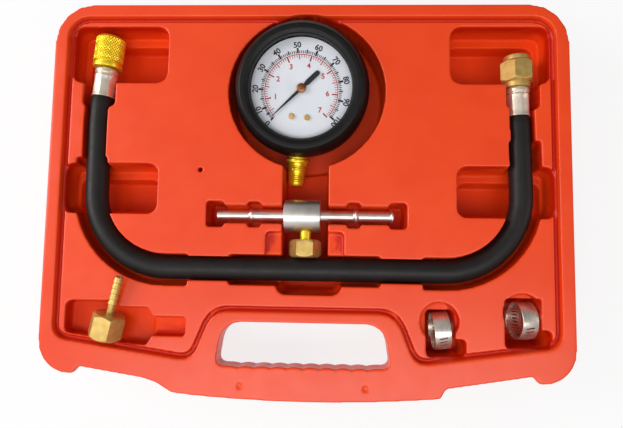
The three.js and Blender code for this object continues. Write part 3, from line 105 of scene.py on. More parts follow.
class Formula:
    """An output in a node tree, which maths nodes can be hung on."""

    def __init__(self, socket):
        self.socket = socket

    def maths(self, operation, *others):
        inputs = dict(enumerate((self, *others)))
        return Formula(put(self.socket.id_data, "ShaderNodeMath", inputs, operation=operation)[0])

    __add__ = partialmethod(maths, "ADD")
    __sub__ = partialmethod(maths, "SUBTRACT")
    __mul__ = partialmethod(maths, "MULTIPLY")
    __truediv__ = partialmethod(maths, "DIVIDE")
    __lt__ = partialmethod(maths, "LESS_THAN")
    __gt__ = partialmethod(maths, "GREATER_THAN")

# %% [markdown]
# ## Light
# A product photograph of this kind is lit by soft lamps in a bright room. The largest is a long
# one overhead, a little in front. It draws the long highlight on the tee and the clamps, and a
# pale sheen on the front of the case. A strong one on the left leaves each pocket a shadow on
# that side, and a weaker one on the right gives the right hose its own edge of light. Their power
# is set so that a colour comes out about as it is written.

# %% Lamps
def area_lamp(name, place, target, width, length, power):
    """A soft lamp of a width and a length, at a place and aimed at a target."""
    data = bpy.data.lights.new(name, "AREA")
    data.shape = "RECTANGLE"
    data.size, data.size_y = width, length
    data.energy = power
    lamp = bpy.data.objects.new(name, data)
    aim = (Vector(target) - Vector(place)).to_track_quat("-Z", "Y")
    lamp.matrix_world = Matrix.Translation(place) @ aim.to_matrix().to_4x4()
    scene.collection.objects.link(lamp)


area_lamp("top_lamp", (0.05, -0.42, 1.0), (0.05, -0.12, 0.02), 1.2, 0.42, 5.4)
area_lamp("key_lamp", (-0.78, 0.14, 0.5), (0, 0, 0.02), 0.45, 0.45, 4.2)
area_lamp("right_lamp", (0.84, 0.0, 0.4), (0, 0, 0.02), 0.4, 0.4, 0.7)

# %% [markdown]
# ## Room
# Metal shows what is round it, so the room is not one flat white. It is grey at the horizon,
# brighter in front and on the left where the windows are, and darker behind and on the right,
# which gives the brass and the steel their dark and light bands. The camera looks down and only
# sees the white floor.

# %% Room
world = bpy.data.worlds.new("room")
scene.world = world
world.use_nodes = True
room = world.node_tree
room.nodes.clear()


def room_ramp(value, *stops):
    """A ramp of greys, each given as (position, grey)."""
    colour = put(room, "ShaderNodeValToRGB", {"Fac": value})["Color"]
    elements = colour.node.color_ramp.elements
    for element, (position, grey) in zip(elements, (stops[0], stops[-1])):
        element.position, element.color = position, (grey, grey, grey, 1)
    for position, grey in stops[1:-1]:
        elements.new(position).color = (grey, grey, grey, 1)
    return colour


def product(first, second):
    return put(room, "ShaderNodeMix", {"Factor": 1.0, "A": first, "B": second},
               data_type="RGBA", blend_type="MULTIPLY")["Result"]


direction = put(room, "ShaderNodeTexCoord")["Generated"]
split = put(room, "ShaderNodeSeparateXYZ", {0: direction})
to_front, to_left = (Formula(split[axis]).maths("MULTIPLY_ADD", -0.5, 0.5) for axis in "YX")
height_light = room_ramp(split["Z"], (0.0, 0.55), (0.5, 0.7), (1.0, 0.72))
front_light = room_ramp(to_front, (0.2, 0.55), (0.5, 0.85), (0.85, 1.0))
left_light = room_ramp(to_left, (0.34, 0.5), (0.62, 1.1))
room_light = product(product(height_light, front_light), left_light)
background = put(room, "ShaderNodeBackground", {"Color": room_light, "Strength": 0.9})[0]
put(room, "ShaderNodeOutputWorld", {"Surface": background})
print("room nodes:", len(room.nodes))

# %% Floor
floor_half, floor_drop, paper_white, paper_glow = 4.0, 0.3, 0.86, 0.8
floor_mesh = bpy.data.meshes.new("floor")
corners = [(x * floor_half, y * floor_half, -floor_drop * mm)
           for x, y in ((-1, -1), (1, -1), (1, 1), (-1, 1))]
floor_mesh.from_pydata(corners, [], [(0, 1, 2, 3)])
floor = bpy.data.objects.new("floor", floor_mesh)
scene.collection.objects.link(floor)
paper = bpy.data.materials.new("white_paper")
paper.use_nodes = True
tree = paper.node_tree
tree.nodes.clear()
rays = put(tree, "ShaderNodeLightPath")
seen = Formula(rays["Is Camera Ray"])
for ray in ("Is Glossy Ray", "Is Transmission Ray"):
    seen = seen.maths("MAXIMUM", rays[ray])
shade = put(tree, "ShaderNodeBsdfDiffuse", {"Color": (*[paper_white] * 3, 1)})[0]
glow = put(tree, "ShaderNodeEmission", {"Color": (1, 1, 1, 1)})[0]
mix = put(tree, "ShaderNodeMixShader", {"Fac": seen * paper_glow, 1: shade, 2: glow})[0]
put(tree, "ShaderNodeOutputMaterial", {"Surface": mix})
floor_mesh.materials.append(paper)
scene.view_settings.view_transform = "Standard"
print("floor at", -floor_drop, "mm")

# %% [markdown]
# ## Finishes
# No real surface has one flat colour. Every finish here has two near colours in soft patches, an
# uneven gloss and a fine relief, each made by a noise at its real size. A pattern is read in
# object coordinates, or for a turned piece in its own UV map, whose V runs along the profile in
# millimetres, so that the tool marks go round the piece.

# %% Finish helpers
def srgb(red, green, blue):
    """A colour as a screen shows it, turned into the linear values that shaders use."""
    def linear(value):
        value /= 255
        return value / 12.92 if value <= 0.04045 else ((value + 0.055) / 1.055) ** 2.4
    return (linear(red), linear(green), linear(blue), 1.0)


def noise_at(vector, size):
    """A noise whose lumps are so many millimetres across."""
    inputs = {"Vector": vector, "Scale": 1 / (size * mm), "Detail": 3.0}
    return put(vector.id_data, "ShaderNodeTexNoise", inputs)["Fac"]


def ranged(value, low, high, start=0.3, stop=0.7):
    """A value between start and stop, turned into one between low and high."""
    inputs = {"Value": value, "From Min": start, "From Max": stop, "To Min": low, "To Max": high}
    return put(value.id_data, "ShaderNodeMapRange", inputs)["Result"]


def blended(factor, first, second):
    """One colour at factor 0 and another at factor 1."""
    inputs = {"Factor": factor, "A": first, "B": second}
    return put(factor.id_data, "ShaderNodeMix", inputs, data_type="RGBA")["Result"]


def relief(height, depth, under=None):
    """A bump of a depth in millimetres, on top of another one if it is given."""
    inputs = {"Strength": 1.0, "Distance": depth * mm, "Height": height}
    if under is not None:
        inputs["Normal"] = under
    return put(height.id_data, "ShaderNodeBump", inputs)["Normal"]


def new_finish(name, metal=0.0, specular=0.5):
    """A material, its shader, and the place of a point on the object in its node tree."""
    material = bpy.data.materials.new(name)
    material.use_nodes = True
    shader = material.node_tree.nodes["Principled BSDF"]
    shader.inputs["Metallic"].default_value = metal
    shader.inputs["Specular IOR Level"].default_value = specular
    return material, shader, put(material.node_tree, "ShaderNodeTexCoord")["Object"]


def wear(shader, **sources):
    """Links sources to the inputs of a shader; a name has _ for a space."""
    for name, source in sources.items():
        shader.id_data.links.new(source, shader.inputs[name.replace("_", " ")])

# %% Moulded and cast finishes
def moulded(name, first, second, gloss, patch, grain, depth, specular):
    """Plastic, rubber or paint: patches of two colours, a gloss that varies and a fine grain."""
    material, shader, place = new_finish(name, specular=specular)
    patches = ranged(noise_at(place, patch), 0, 1)
    wear(shader, Base_Color=blended(patches, srgb(*first), srgb(*second)),
         Roughness=ranged(noise_at(place, patch / 3), *gloss),
         Normal=relief(noise_at(place, grain), depth))
    return material


# two colours, least and most roughness, size of a patch and a grain, depth of a grain, specular
moulded_finishes = {
    "case_plastic": ((238, 71, 19), (232, 64, 15), (0.28, 0.37), 30, 0.5, 0.008, 0.5),
    "boot_rubber": ((12, 11, 11), (19, 17, 16), (0.34, 0.46), 7, 0.35, 0.02, 0.22),
    "hose_rubber": ((23, 20, 19), (29, 25, 24), (0.42, 0.54), 9, 0.4, 0.012, 0.3),
    "seal_rubber": ((26, 26, 27), (36, 35, 35), (0.55, 0.7), 3, 0.3, 0.02, 0.3),
    "black_enamel": ((20, 20, 21), (27, 26, 26), (0.28, 0.38), 5, 0.25, 0.006, 0.5),
    "dial_paint": ((240, 242, 248), (232, 236, 244), (0.35, 0.45), 12, 0.3, 0.003, 0.5),
    "black_ink": ((14, 15, 19), (22, 23, 28), (0.5, 0.6), 2, 0.2, 0.002, 0.5),
    "red_ink": ((190, 44, 36), (200, 60, 48), (0.5, 0.6), 2, 0.2, 0.002, 0.5),
}
(case_plastic, boot_rubber, hose_rubber, seal_rubber, black_enamel, dial_paint, black_ink,
 red_ink) = (moulded(name, *values) for name, values in moulded_finishes.items())
print("moulded finishes:", len(moulded_finishes))

# %% Painted shade below the deck
# Light that falls between two red walls comes back darker and redder, and here that is painted
# into the colour as painted shade. The case mesh carries a value that is 1 in the groove round
# the deck and where a pocket's wall leaves the deck; there the colour turns to a deep painted red.
# The deck shines, and below it the plastic is given less specular, a painted shade that makes the
# pockets read darker.
# the last colour here is a painted shade for the groove and the tops of the pocket walls
dull_below, shiny_above, dull, shiny, painted_shade_red = 33 * mm, 38 * mm, 0.12, 0.5, (196, 28, 2)
tree = case_plastic.node_tree
shader = tree.nodes["Principled BSDF"]
painted_shade = put(tree, "ShaderNodeAttribute", attribute_name="painted_shade")["Fac"]
surface = shader.inputs["Base Color"].links[0].from_socket
level = put(tree, "ShaderNodeSeparateXYZ", {0: put(tree, "ShaderNodeTexCoord")["Object"]})["Z"]
# painted shade: deep red where the value is 1, and less specular below the deck
wear(shader, Base_Color=blended(painted_shade, surface, srgb(*painted_shade_red)),
     Specular_IOR_Level=ranged(level, dull, shiny, dull_below, shiny_above))
print("nodes of the case plastic:", len(tree.nodes))

# %% Metal finishes
def turned_metal(name, bright, dull, gloss, line, depth, patch, metal):
    """Metal from a lathe: fine rings, and patches where the surface has dulled."""
    material, shader, place = new_finish(name, metal)
    patches = ranged(noise_at(place, patch), 0, 1, 0.35, 0.75)
    tree = material.node_tree
    strip = put(tree, "ShaderNodeUVMap", uv_map="turning")["UV"]
    inputs = {"Vector": strip, "Scale": (1.5, 1 / line, 1)}
    stretched = put(tree, "ShaderNodeMapping", inputs)["Vector"]
    inputs = {"Vector": stretched, "Scale": 1.0, "Detail": 4.0}
    rings = put(tree, "ShaderNodeTexNoise", inputs)["Fac"]
    fine = relief(noise_at(place, 0.5), depth / 2)
    wear(shader, Base_Color=blended(patches, srgb(*bright), srgb(*dull)),
         Roughness=ranged(rings, *gloss), Normal=relief(rings, depth, fine))
    return material


# two colours, least and most roughness, width and depth of a ring, size of a patch, metallic
metal_finishes = {
    "bright_brass": ((222, 188, 112), (196, 160, 90), (0.42, 0.56), 0.3, 0.004, 4.0, 0.85),
    "gold_brass": ((255, 230, 62), (246, 208, 42), (0.28, 0.4), 0.3, 0.004, 4.0, 0.75),
    "tee_metal": ((236, 229, 222), (216, 208, 201), (0.3, 0.42), 0.4, 0.003, 8.0, 1.0),
    "nickel": ((244, 232, 214), (226, 210, 190), (0.28, 0.44), 0.3, 0.003, 4.0, 0.75),
    "stainless": ((242, 232, 218), (216, 204, 188), (0.22, 0.36), 0.3, 0.003, 4.0, 0.85),
    "bronze": ((158, 104, 66), (130, 84, 52), (0.32, 0.46), 0.3, 0.003, 4.0, 1.0),
}
bright_brass, gold_brass, tee_metal, nickel, stainless, bronze = (
    turned_metal(name, *values) for name, values in metal_finishes.items())
print("metal finishes:", len(metal_finishes))

# %% Clear lens
lens_plastic, shader, place = new_finish("lens_plastic")
shader.inputs["Base Color"].default_value = (0.05, 0.05, 0.055, 1)
shader.inputs["Alpha"].default_value = 0.045
wear(shader, Roughness=ranged(noise_at(place, 20), 0.04, 0.09),
     Normal=relief(noise_at(place, 9), 0.002))
print("all finishes:", len(bpy.data.materials))

# %% [markdown]
# ## Shapes turned on a lathe
# Nuts, ferrules, tee and boot are all bodies of revolution. Blender's Screw modifier could spin
# an outline. A small function of our own can do more: it rounds each corner of the outline, lets
# a rule change the radius round the piece, which makes a hexagon from a round bar, and writes the
# UV map that the lathe marks follow.

# %% Circles and ramps
def polar(radius, angle, middle=(0, 0)):
    """The point at an angle on a circle."""
    return middle[0] + radius * math.cos(angle), middle[1] + radius * math.sin(angle)


def arc(radius, start, stop, steps, middle=(0, 0)):
    """Points on an arc from one angle to another, both ends included."""
    return [polar(radius, start + (stop - start) * k / steps, middle) for k in range(steps + 1)]


def ramp(value, start, stop):
    """0 before start, 1 beyond stop, and a straight climb in between."""
    return min(1.0, max(0.0, (value - start) / (stop - start)))


# %% Outline with rounded corners
def softened(outline, radius, steps=3, closed=False):
    """Replaces each corner [radius, height] by a small arc; a third number is its own size."""
    count, points, straight, most_reach = len(outline), [], math.radians(6), 0.45
    for i, corner in enumerate(outline):
        here = Vector(corner[:2])
        wanted = corner[2] if len(corner) > 2 else radius
        before = Vector(outline[i - 1][:2]) - here
        after = Vector(outline[(i + 1) % count][:2]) - here
        opening = before.angle(after)
        at_end = not closed and i in (0, count - 1)
        if wanted <= 0 or at_end or math.pi - opening < straight:
            points.append(here)
            continue
        shorter = min(before.length, after.length)
        reach = min(wanted / math.tan(opening / 2), most_reach * shorter)
        first, last = here + before.normalized() * reach, here + after.normalized() * reach
        for k in range(steps + 1):
            share = k / steps
            points.append(first * (1 - share) ** 2 + here * 2 * share * (1 - share)
                          + last * share ** 2)
    return [tuple(point) for point in points]


# %% Outline spun into a mesh
def facing_out(mesh):
    """Turns a closed mesh so that its faces point outwards."""
    shape = bmesh.new()
    shape.from_mesh(mesh)
    if shape.calc_volume(signed=True) < 0:
        bmesh.ops.reverse_faces(shape, faces=shape.faces)
    shape.to_mesh(mesh)
    shape.free()
    return mesh


def spun(outline, finish, sides=72, closed=False, rule=None):
    """Spins an outline of [radius, height] in millimetres round the Z axis."""
    rings, places, lengths = [], [], [0.0]
    for i, (radius, height) in enumerate(outline):
        if i:
            lengths.append(lengths[-1] + math.dist(outline[i], outline[i - 1]))
        if radius < 1e-6:
            rings.append([len(places)] * sides)
            places.append((0, 0, height))
            continue
        rings.append(range(len(places), len(places) + sides))
        for k in range(sides):
            angle = 2 * math.pi * k / sides
            places.append((*polar(rule(angle, radius, height) if rule else radius, angle), height))
    faces, strip = [], []
    count = len(outline)
    for i in range(count if closed else count - 1):
        j = (i + 1) % count
        low, top = lengths[i], lengths[j] if j else lengths[i] + math.dist(outline[i], outline[0])
        for k in range(sides):
            corners = {}
            for ring, side, length in ((i, k, low), (i, k + 1, low), (j, k + 1, top), (j, k, top)):
                corners.setdefault(rings[ring][side % sides], (side / sides, length))
            if len(corners) > 2:
                faces.append(list(corners))
                strip += corners.values()
    mesh = bpy.data.meshes.new("spun")
    mesh.from_pydata(places, [], faces)
    layer = mesh.uv_layers.new(name="turning")
    layer.data.foreach_set("uv", np.array(strip, np.float32).ravel())
    mesh.materials.append(finish)
    return facing_out(mesh)


def turned(outline, radius, finish, sides=72, closed=True, rule=None, steps=3):
    """A piece from the lathe: an outline with its corners rounded, spun."""
    return spun(softened(outline, radius, steps, closed), finish, sides, closed, rule)


# %% Pulled-up outline
def slab(outline, low, high, finish):
    """A flat piece: an outline in X and Y, pulled up from a low to a high level."""
    count = len(outline)
    places = [(x, y, low) for x, y in outline] + [(x, y, high) for x, y in outline]
    faces = [list(range(count))[::-1], list(range(count, 2 * count))]
    faces += [[k, (k + 1) % count, count + (k + 1) % count, count + k] for k in range(count)]
    mesh = bpy.data.meshes.new("slab")
    mesh.from_pydata(places, [], faces)
    mesh.materials.append(finish)
    return facing_out(mesh)


# %% Hexagons
def hexagon(across):
    """A rule that flattens a round bar to six sides, so far across."""
    def rule(angle, radius, height):
        sector = angle % (math.pi / 3) - math.pi / 6
        return min(radius, across / 2 / math.cos(sector))
    return rule


def hexagon_outline(across, low, high, chamfer, bore):
    """The outline of a hexagon bar with both ends turned down, round a bore."""
    corner, flat = across / math.sqrt(3), across / 2
    drop = corner - flat + chamfer
    low_radius, climb = flat - chamfer / 2, corner + 1.5 * chamfer - flat
    cut = [(low_radius + climb * k / 10, drop * k / 10) for k in range(11)]
    side = [(radius, low + height) for radius, height in cut]
    side += [(radius, high - height) for radius, height in reversed(cut)]
    return [(bore, low), *side, (bore, high)]


# %% Joining and placing
def frame_matrix(origin, x_axis, y_axis, z_axis):
    """From a piece's own millimetres to its place in the case, in metres."""
    matrix = Matrix((x_axis, y_axis, z_axis)).transposed().to_4x4()
    matrix.translation = Vector(origin)
    return matrix @ Matrix.Scale(mm, 4)


def show(name, meshes, body, slot, *replaced, place=None, sharp=32):
    """Joins meshes into one piece, places it and lets it ride on its body."""
    shape = bmesh.new()
    finishes = []
    for mesh in meshes:
        start = len(shape.faces)
        shape.from_mesh(mesh)
        shape.faces.ensure_lookup_table()
        for face in shape.faces[start:]:
            finish = mesh.materials[face.material_index]
            if finish not in finishes:
                finishes.append(finish)
            face.material_index = finishes.index(finish)
    joined = bpy.data.meshes.new(name)
    shape.to_mesh(joined)
    shape.free()
    for finish in finishes:
        joined.materials.append(finish)
    if place is not None:
        joined.transform(place)
    joined.shade_smooth()
    joined.set_sharp_from_angle(angle=math.radians(sharp))
    piece = bpy.data.objects.new(name, joined)
    scene.collection.objects.link(piece)
    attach(piece, body)
    if replaced:
        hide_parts(*replaced)
    print(name, len(joined.polygons), "faces")


# %% [markdown]
# ## Rules as node trees
# What repeats or follows a path is made with Geometry Nodes: the hose along its route, the
# knurl of the coupling nut, threads, the marks of the dial and the slots of the clamp bands. The
# result is turned into a plain mesh, because instances do not survive the export.

# %% Node tree helpers
def new_rule(name, **sizes):
    """A Geometry Nodes tree, with its named inputs as formulas."""
    tree = bpy.data.node_groups.new(name, "GeometryNodeTree")

    def socket(label, kind, in_out="INPUT"):
        return tree.interface.new_socket(label, in_out=in_out, socket_type=f"NodeSocket{kind}")

    socket("Geometry", "Geometry")
    for label, value in sizes.items():
        socket(label, "Int" if isinstance(value, int) else "Float").default_value = value
    socket("finish", "Material")
    socket("Geometry", "Geometry", "OUTPUT")
    inputs = put(tree, "NodeGroupInput")
    return tree, {label: Formula(inputs[label]) for label in ("Geometry", *sizes, "finish")}


def close_rule(tree, geometry, finish):
    """Ends a tree: instances made real, and the finish set."""
    real = put(tree, "GeometryNodeRealizeInstances", {"Geometry": geometry})[0]
    painted = put(tree, "GeometryNodeSetMaterial", {"Geometry": real, "Material": finish})[0]
    put(tree, "NodeGroupOutput", {"Geometry": painted})
    print("tree", tree.name, "has", len(tree.nodes), "nodes")
    return tree


# %% Meshes from modifiers
def paint(mesh, finish):
    """Gives a mesh one finish only."""
    mesh.materials.clear()
    mesh.materials.append(finish)


def host_of(data):
    """An object that holds a mesh or a curve while it is worked on."""
    host = bpy.data.objects.new("host", data)
    scene.collection.objects.link(host)
    return host


def plain_mesh(host):
    """What an object looks like after its modifiers, as a mesh. The object is removed."""
    graph = bpy.context.evaluated_depsgraph_get()
    mesh = bpy.data.meshes.new_from_object(host.evaluated_get(graph), depsgraph=graph)
    bpy.data.objects.remove(host)
    return mesh


def evaluated(mesh, *modifiers):
    """The mesh after modifiers, each given as (type, settings)."""
    host = host_of(mesh)
    for kind, settings in modifiers:
        modifier = host.modifiers.new(kind, kind)
        for key, value in settings.items():
            setattr(modifier, key, value)
    return plain_mesh(host)


def grown(tree, finish, base=None, **sizes):
    """Runs a tree, on a base mesh if it has one, and returns the result as a plain mesh."""
    host = host_of(base or bpy.data.meshes.new("empty"))
    modifier = host.modifiers.new("rule", "NODES")
    modifier.node_group = tree
    values = {"finish": finish, **sizes}
    for item in tree.interface.items_tree:
        if item.in_out == "INPUT" and item.name in values:
            modifier[item.identifier] = values[item.name]
    mesh = plain_mesh(host)
    if not mesh.materials:
        mesh.materials.append(finish)
    return mesh


def cut_by(mesh, cutter):
    """The mesh with another one cut out of it."""
    tool = host_of(cutter)
    settings = {"operation": "DIFFERENCE", "solver": "EXACT", "object": tool}
    result = evaluated(mesh, ("BOOLEAN", settings))
    bpy.data.objects.remove(tool)
    return result


# %% Bars on a circle
def bars_on_circle(tree, size, direction, radius, height, bar, slant=0.0):
    """Instances of a bar, as many as count, each a step further round a circle."""
    number = Formula(put(tree, "GeometryNodeInputIndex")[0])
    angle = size["start"] + number * size["step"] * direction
    line = put(tree, "GeometryNodeMeshLine", {"Count": size["count"]})[0]
    spot = put(tree, "ShaderNodeCombineXYZ", {"X": radius * angle.maths("COSINE"),
                                              "Y": radius * angle.maths("SINE"), "Z": height})[0]
    spread = put(tree, "GeometryNodeSetPosition", {"Geometry": line, "Position": spot})[0]
    bar_size = put(tree, "ShaderNodeCombineXYZ", dict(zip("XYZ", bar)))[0]
    cube = put(tree, "GeometryNodeMeshCube", {"Size": bar_size})[0]
    heading = put(tree, "ShaderNodeCombineXYZ", {"X": slant, "Z": angle})[0]
    facing = put(tree, "FunctionNodeEulerToRotation", {0: heading})[0]
    inputs = {"Points": spread, "Instance": cube, "Rotation": facing}
    return put(tree, "GeometryNodeInstanceOnPoints", inputs)[0]


# %% [markdown]
# ## Case
# The real case is blow moulded: a tube of soft plastic is pressed into a mould, so all its edges
# are round and its walls are drafted. The CAD solid has the right walls but sharp edges, and
# inside it is hollow, which nobody can see. A Bevel modifier fails on the many crossing edges
# of the pockets. Rebuilding the skin from small voxels and smoothing it rounds everything alike.
# The pin hole beside the gauge opens into the hollow, so a small cup under it keeps the skin
# closed. A cheek beside the right clamp makes its slot as narrow as the photographed one.

# %% Rebuild the case skin
pin_hole = (-60.0, 15.2, 0.0)
cup_outline = [(0, 30.5), (3.4, 30.5), (3.4, 37.2), (1.45, 37.2), (1.45, 32.0), (0, 32.0)]
cheek_outline = [(129.4, -71.0), (135.0, -71.0), (135.0, -52.6), (129.4, -52.6)]
cheek_levels = (8.0, 38.5)
voxel = 0.7 * mm
smooth_turns = 4
most_triangles = 180000

solid = bmesh.new()
solid.from_mesh(nodes["case_tray"].data)
bmesh.ops.remove_doubles(solid, verts=solid.verts, dist=0.002 * mm)
cheek = slab(cheek_outline, *cheek_levels, case_plastic)
cheek.transform(Matrix.Scale(mm, 4))
cup = spun(cup_outline, case_plastic, sides=32)
cup.transform(Matrix.Scale(mm, 4) @ Matrix.Translation(pin_hole))
solid.from_mesh(cup)
solid.from_mesh(cheek)
plugged = bpy.data.meshes.new("plugged")
solid.to_mesh(plugged)
solid.free()
rough_skin = evaluated(plugged, ("REMESH", {"mode": "VOXEL", "voxel_size": voxel}))
print("case skin from voxels:", len(rough_skin.polygons), "faces")

# %% Keep the outer skin
# only the connected part that reaches furthest is kept: the wall of the hollow is dropped
shape = bmesh.new()
shape.from_mesh(rough_skin)
reached = [max(shape.verts, key=lambda point: point.co.x)]
while reached:
    point = reached.pop()
    if not point.tag:
        point.tag = True
        reached += [edge.other_vert(point) for edge in point.link_edges]
inner = [point for point in shape.verts if not point.tag]
bmesh.ops.delete(shape, geom=inner, context="VERTS")
shape.to_mesh(rough_skin)
shape.free()
soft_skin = evaluated(rough_skin, ("SMOOTH", {"factor": 0.5, "iterations": smooth_turns}))
share = min(1.0, most_triangles / (2 * len(soft_skin.polygons)))
case_skin = evaluated(soft_skin, ("TRIANGULATE", {}), ("DECIMATE", {"ratio": share}))
paint(case_skin, case_plastic)
print("case skin:", len(case_skin.polygons), "triangles")

# %% Mark where shade is painted below the deck
def mark_sunk(mesh, deck=38.1, deep=36.8, fading=33.0, gone=28.0, nearest=5.5, clear=0.2):
    """Writes the painted shade value on each point below the deck that has a wall close by, further
    out.
    """
    shape = bmesh.new()
    shape.from_mesh(mesh)
    walls = BVHTree.FromBMesh(shape)
    values = []
    for point in shape.verts:
        height = point.co.z / mm
        # painted shade fades in just below the deck and out again deeper down
        value = ramp(height, deck, deep) * ramp(height, gone, fading)
        if value > 0:
            outwards = Vector((point.co.x, point.co.y, 0)).normalized()
            start = point.co + point.normal * clear * mm
            value *= walls.ray_cast(start, outwards, nearest * mm)[0] is not None
        values.append(value)
    shape.free()
    mesh.attributes.new("painted_shade", "FLOAT", "POINT").data.foreach_set("value", values)
    return sum(value > 0 for value in values)


print("points below the deck:", mark_sunk(case_skin))
show("case_skin", [case_skin], "case", "case_plastic", "case_tray", sharp=180)

# %% [markdown]
# ## Hose
# The hose is smooth rubber, 13 mm thick, and lies in its channel along three sides. Its route is
# the one of the CAD solid: straight, a bend, straight, a bend, and a slight lean at the left end.
# A node tree sweeps a circle along that route and pinches it where the ferrules grip.

# %% Hose route
half_span, bend_radius = 121.5, 43.0
hose_y, hose_z, hose_radius = -40.413, 31.5, 6.5
left_end, right_end = 114.6, 104.2
bend_y = hose_y + bend_radius
lean, lean_start, lean_length = math.tan(math.radians(5.4)), 82.0, 12.0
lean_out, right_lean = 0.5, 1.0
quarter = math.pi / 2


def between(a, b, count):
    """Points on a straight line, both ends left out."""
    return [tuple(p + (q - p) * k / count for p, q in zip(a, b)) for k in range(1, count)]


knee = (-half_span - lean_out, hose_y + lean_start)
knee_out = (knee[0] + lean * lean_length / 2, knee[1] + lean_length)
left_top = (knee[0] + lean * (left_end - lean_start - lean_length / 2), hose_y + left_end)
right_top = (half_span - right_lean, hose_y + right_end)
bend_x = half_span - bend_radius
route = [right_top, *between(right_top, (half_span, bend_y), 4),
         *arc(bend_radius, 0, -quarter, 12, (bend_x, bend_y)),
         *between((bend_x, hose_y), (-bend_x, hose_y), 12),
         *arc(bend_radius, -quarter, -2 * quarter, 12, (-bend_x, bend_y)),
         *between((-half_span, bend_y), knee, 4), knee, knee_out, left_top]


def smooth_route(points, per_span=6):
    """The centripetal curve through the points, the same one that the CAD solid follows."""
    points = [Vector(point) for point in points]
    points = [points[0] * 2 - points[1], *points, points[-1] * 2 - points[-2]]
    line = []
    for a, b, c, d in zip(points, points[1:], points[2:], points[3:]):
        first, span, last = ((q - p).length ** 0.5 for p, q in ((a, b), (b, c), (c, d)))
        leave = ((b - a) / first - (c - a) / (first + span) + (c - b) / span) * span
        arrive = ((c - b) / span - (d - b) / (span + last) + (d - c) / last) * span
        for k in range(per_span):
            t = k / per_span
            line.append(b * (2 * t**3 - 3 * t**2 + 1) + leave * (t**3 - 2 * t**2 + t)
                        + c * (3 * t**2 - 2 * t**3) + arrive * (t**3 - t**2))
    return [*line, points[-2]]


centre_line = smooth_route(route)
hose_length = sum((q - p).length for p, q in zip(centre_line, centre_line[1:]))
print("hose centre line:", round(hose_length, 1), "mm")

# %% Hose tree
left_grip, right_grip = 15.6, 15.4
tree, size = new_rule("hose_along_route", radius=hose_radius, pinched=5.35,
                      left_grip=left_grip, right_grip=right_grip)
hose_curve = put(tree, "GeometryNodeMeshToCurve", {"Mesh": size["Geometry"]})[0]
along = Formula(put(tree, "GeometryNodeSplineParameter")["Length"])
whole = Formula(put(tree, "GeometryNodeSplineLength")["Length"])
gripped = (along < size["right_grip"]).maths("MAXIMUM", along > whole - size["left_grip"])
thickness = size["radius"] - gripped * (size["radius"] - size["pinched"])
inputs = {"Resolution": 36, "Radius": 1.0}
ring = put(tree, "GeometryNodeCurvePrimitiveCircle", inputs)[0]
inputs = {"Curve": hose_curve, "Profile Curve": ring, "Scale": thickness, "Fill Caps": True}
hose_skin = put(tree, "GeometryNodeCurveToMesh", inputs)[0]
hose_rule = close_rule(tree, hose_skin, size["finish"])

line_mesh = bpy.data.meshes.new("centre_line")
line_mesh.from_pydata([(x, y, hose_z) for x, y in centre_line], [],
                      [(k, k + 1) for k in range(len(centre_line) - 1)])
hose_mesh = facing_out(grown(hose_rule, hose_rubber, line_mesh))
show("hose_skin", [hose_mesh], "hose_line", "hose_rubber", "hose", place=Matrix.Scale(mm, 4))

# %% [markdown]
# ## Crimped ferrules
# Each hose end is held by a plated sleeve that a press has squeezed from eight sides, which
# leaves flat facets between a round ring and a round mouth. The facets come from a rule on the
# radius that fades out towards both ends.

# %% Hose end frames
def hose_end(joint_name, ahead=10.0):
    """The frame at the cut end of the hose, Z outwards; the nut's joint lies so far ahead of it."""
    joint = joints[joint_name]
    out_axis = Vector(joint["axis"]).normalized()
    side = Vector((out_axis.y, -out_axis.x, 0))
    origin = Vector(joint["pos_m"]) - out_axis * ahead * mm
    return frame_matrix(origin, side, Vector((0, 0, -1)), out_axis)


left_frame = hose_end("knurled_nut_spin")
right_frame = hose_end("hex_nut_spin")
print("left end at", [round(v * 1000, 1) for v in left_frame.translation])

# %% Ferrules
sleeve_radius, rim_length, bend_steps = 6.5, 3.2, 14


def crimp(length, sides=8, flatness=0.55, depth=0.126, bore=6.0):
    """A rule that flattens the middle of a sleeve into facets and leaves its bore round."""
    def rule(angle, radius, height):
        if radius < bore:
            return radius
        share = (height + length) / (length - rim_length)
        fade = ramp(share, 0, 1 / 6) * ramp(share, 1, 5 / 6)
        sector = angle % (2 * math.pi / sides) - math.pi / sides
        flat = radius * math.cos(math.pi / sides) / math.cos(sector)
        return radius + (flatness * (flat - radius) - depth) * fade
    return rule


def ferrule_mesh(length):
    shell = [(5.75, -length), (sleeve_radius, -length)]
    shell += [(sleeve_radius, -length + (length - rim_length) * k / bend_steps, 0)
              for k in range(1, bend_steps)]
    shell += [(6.5, -3.1), (6.05, -2.4), (6.05, -1.9), (6.5, -1.3), (6.5, 0.1), (6.0, 1.2),
              (4.0, 1.4), (4.0, 0.3), (5.75, 0.2)]
    return turned(shell, 0.25, nickel, sides=96, rule=crimp(length))


for side, length, place in (("left", left_grip, left_frame), ("right", right_grip, right_frame)):
    show(f"ferrule_sleeve_{side}", [ferrule_mesh(length)], "hose_line", "nickel",
         f"ferrule_{side}", place=place, sharp=25)

# %% [markdown]
# ## Knurled nut
# A hand nut is rolled with two sets of slanting grooves that cross and leave small pyramids.
# Displacing a fine grid with a node tree gives real pyramids, which a bump texture would not.

# %% Knurl tree
tree, size = new_rule("diamond_knurl", starts=36, lead=1.0, depth=0.36, low=0.0, high=1.0,
                      radius=8.5)
where = put(tree, "GeometryNodeInputPosition")[0]
x, y, z = (Formula(part) for part in put(tree, "ShaderNodeSeparateXYZ", {0: where}))
around = y.maths("ARCTAN2", x) / (2 * math.pi) * size["starts"]
climb = z / size["lead"]


def ridge(value):
    """1 on a ridge and 0 in a groove."""
    return value.maths("FRACT").maths("MULTIPLY_ADD", 2.0, -1.0).maths("ABSOLUTE")


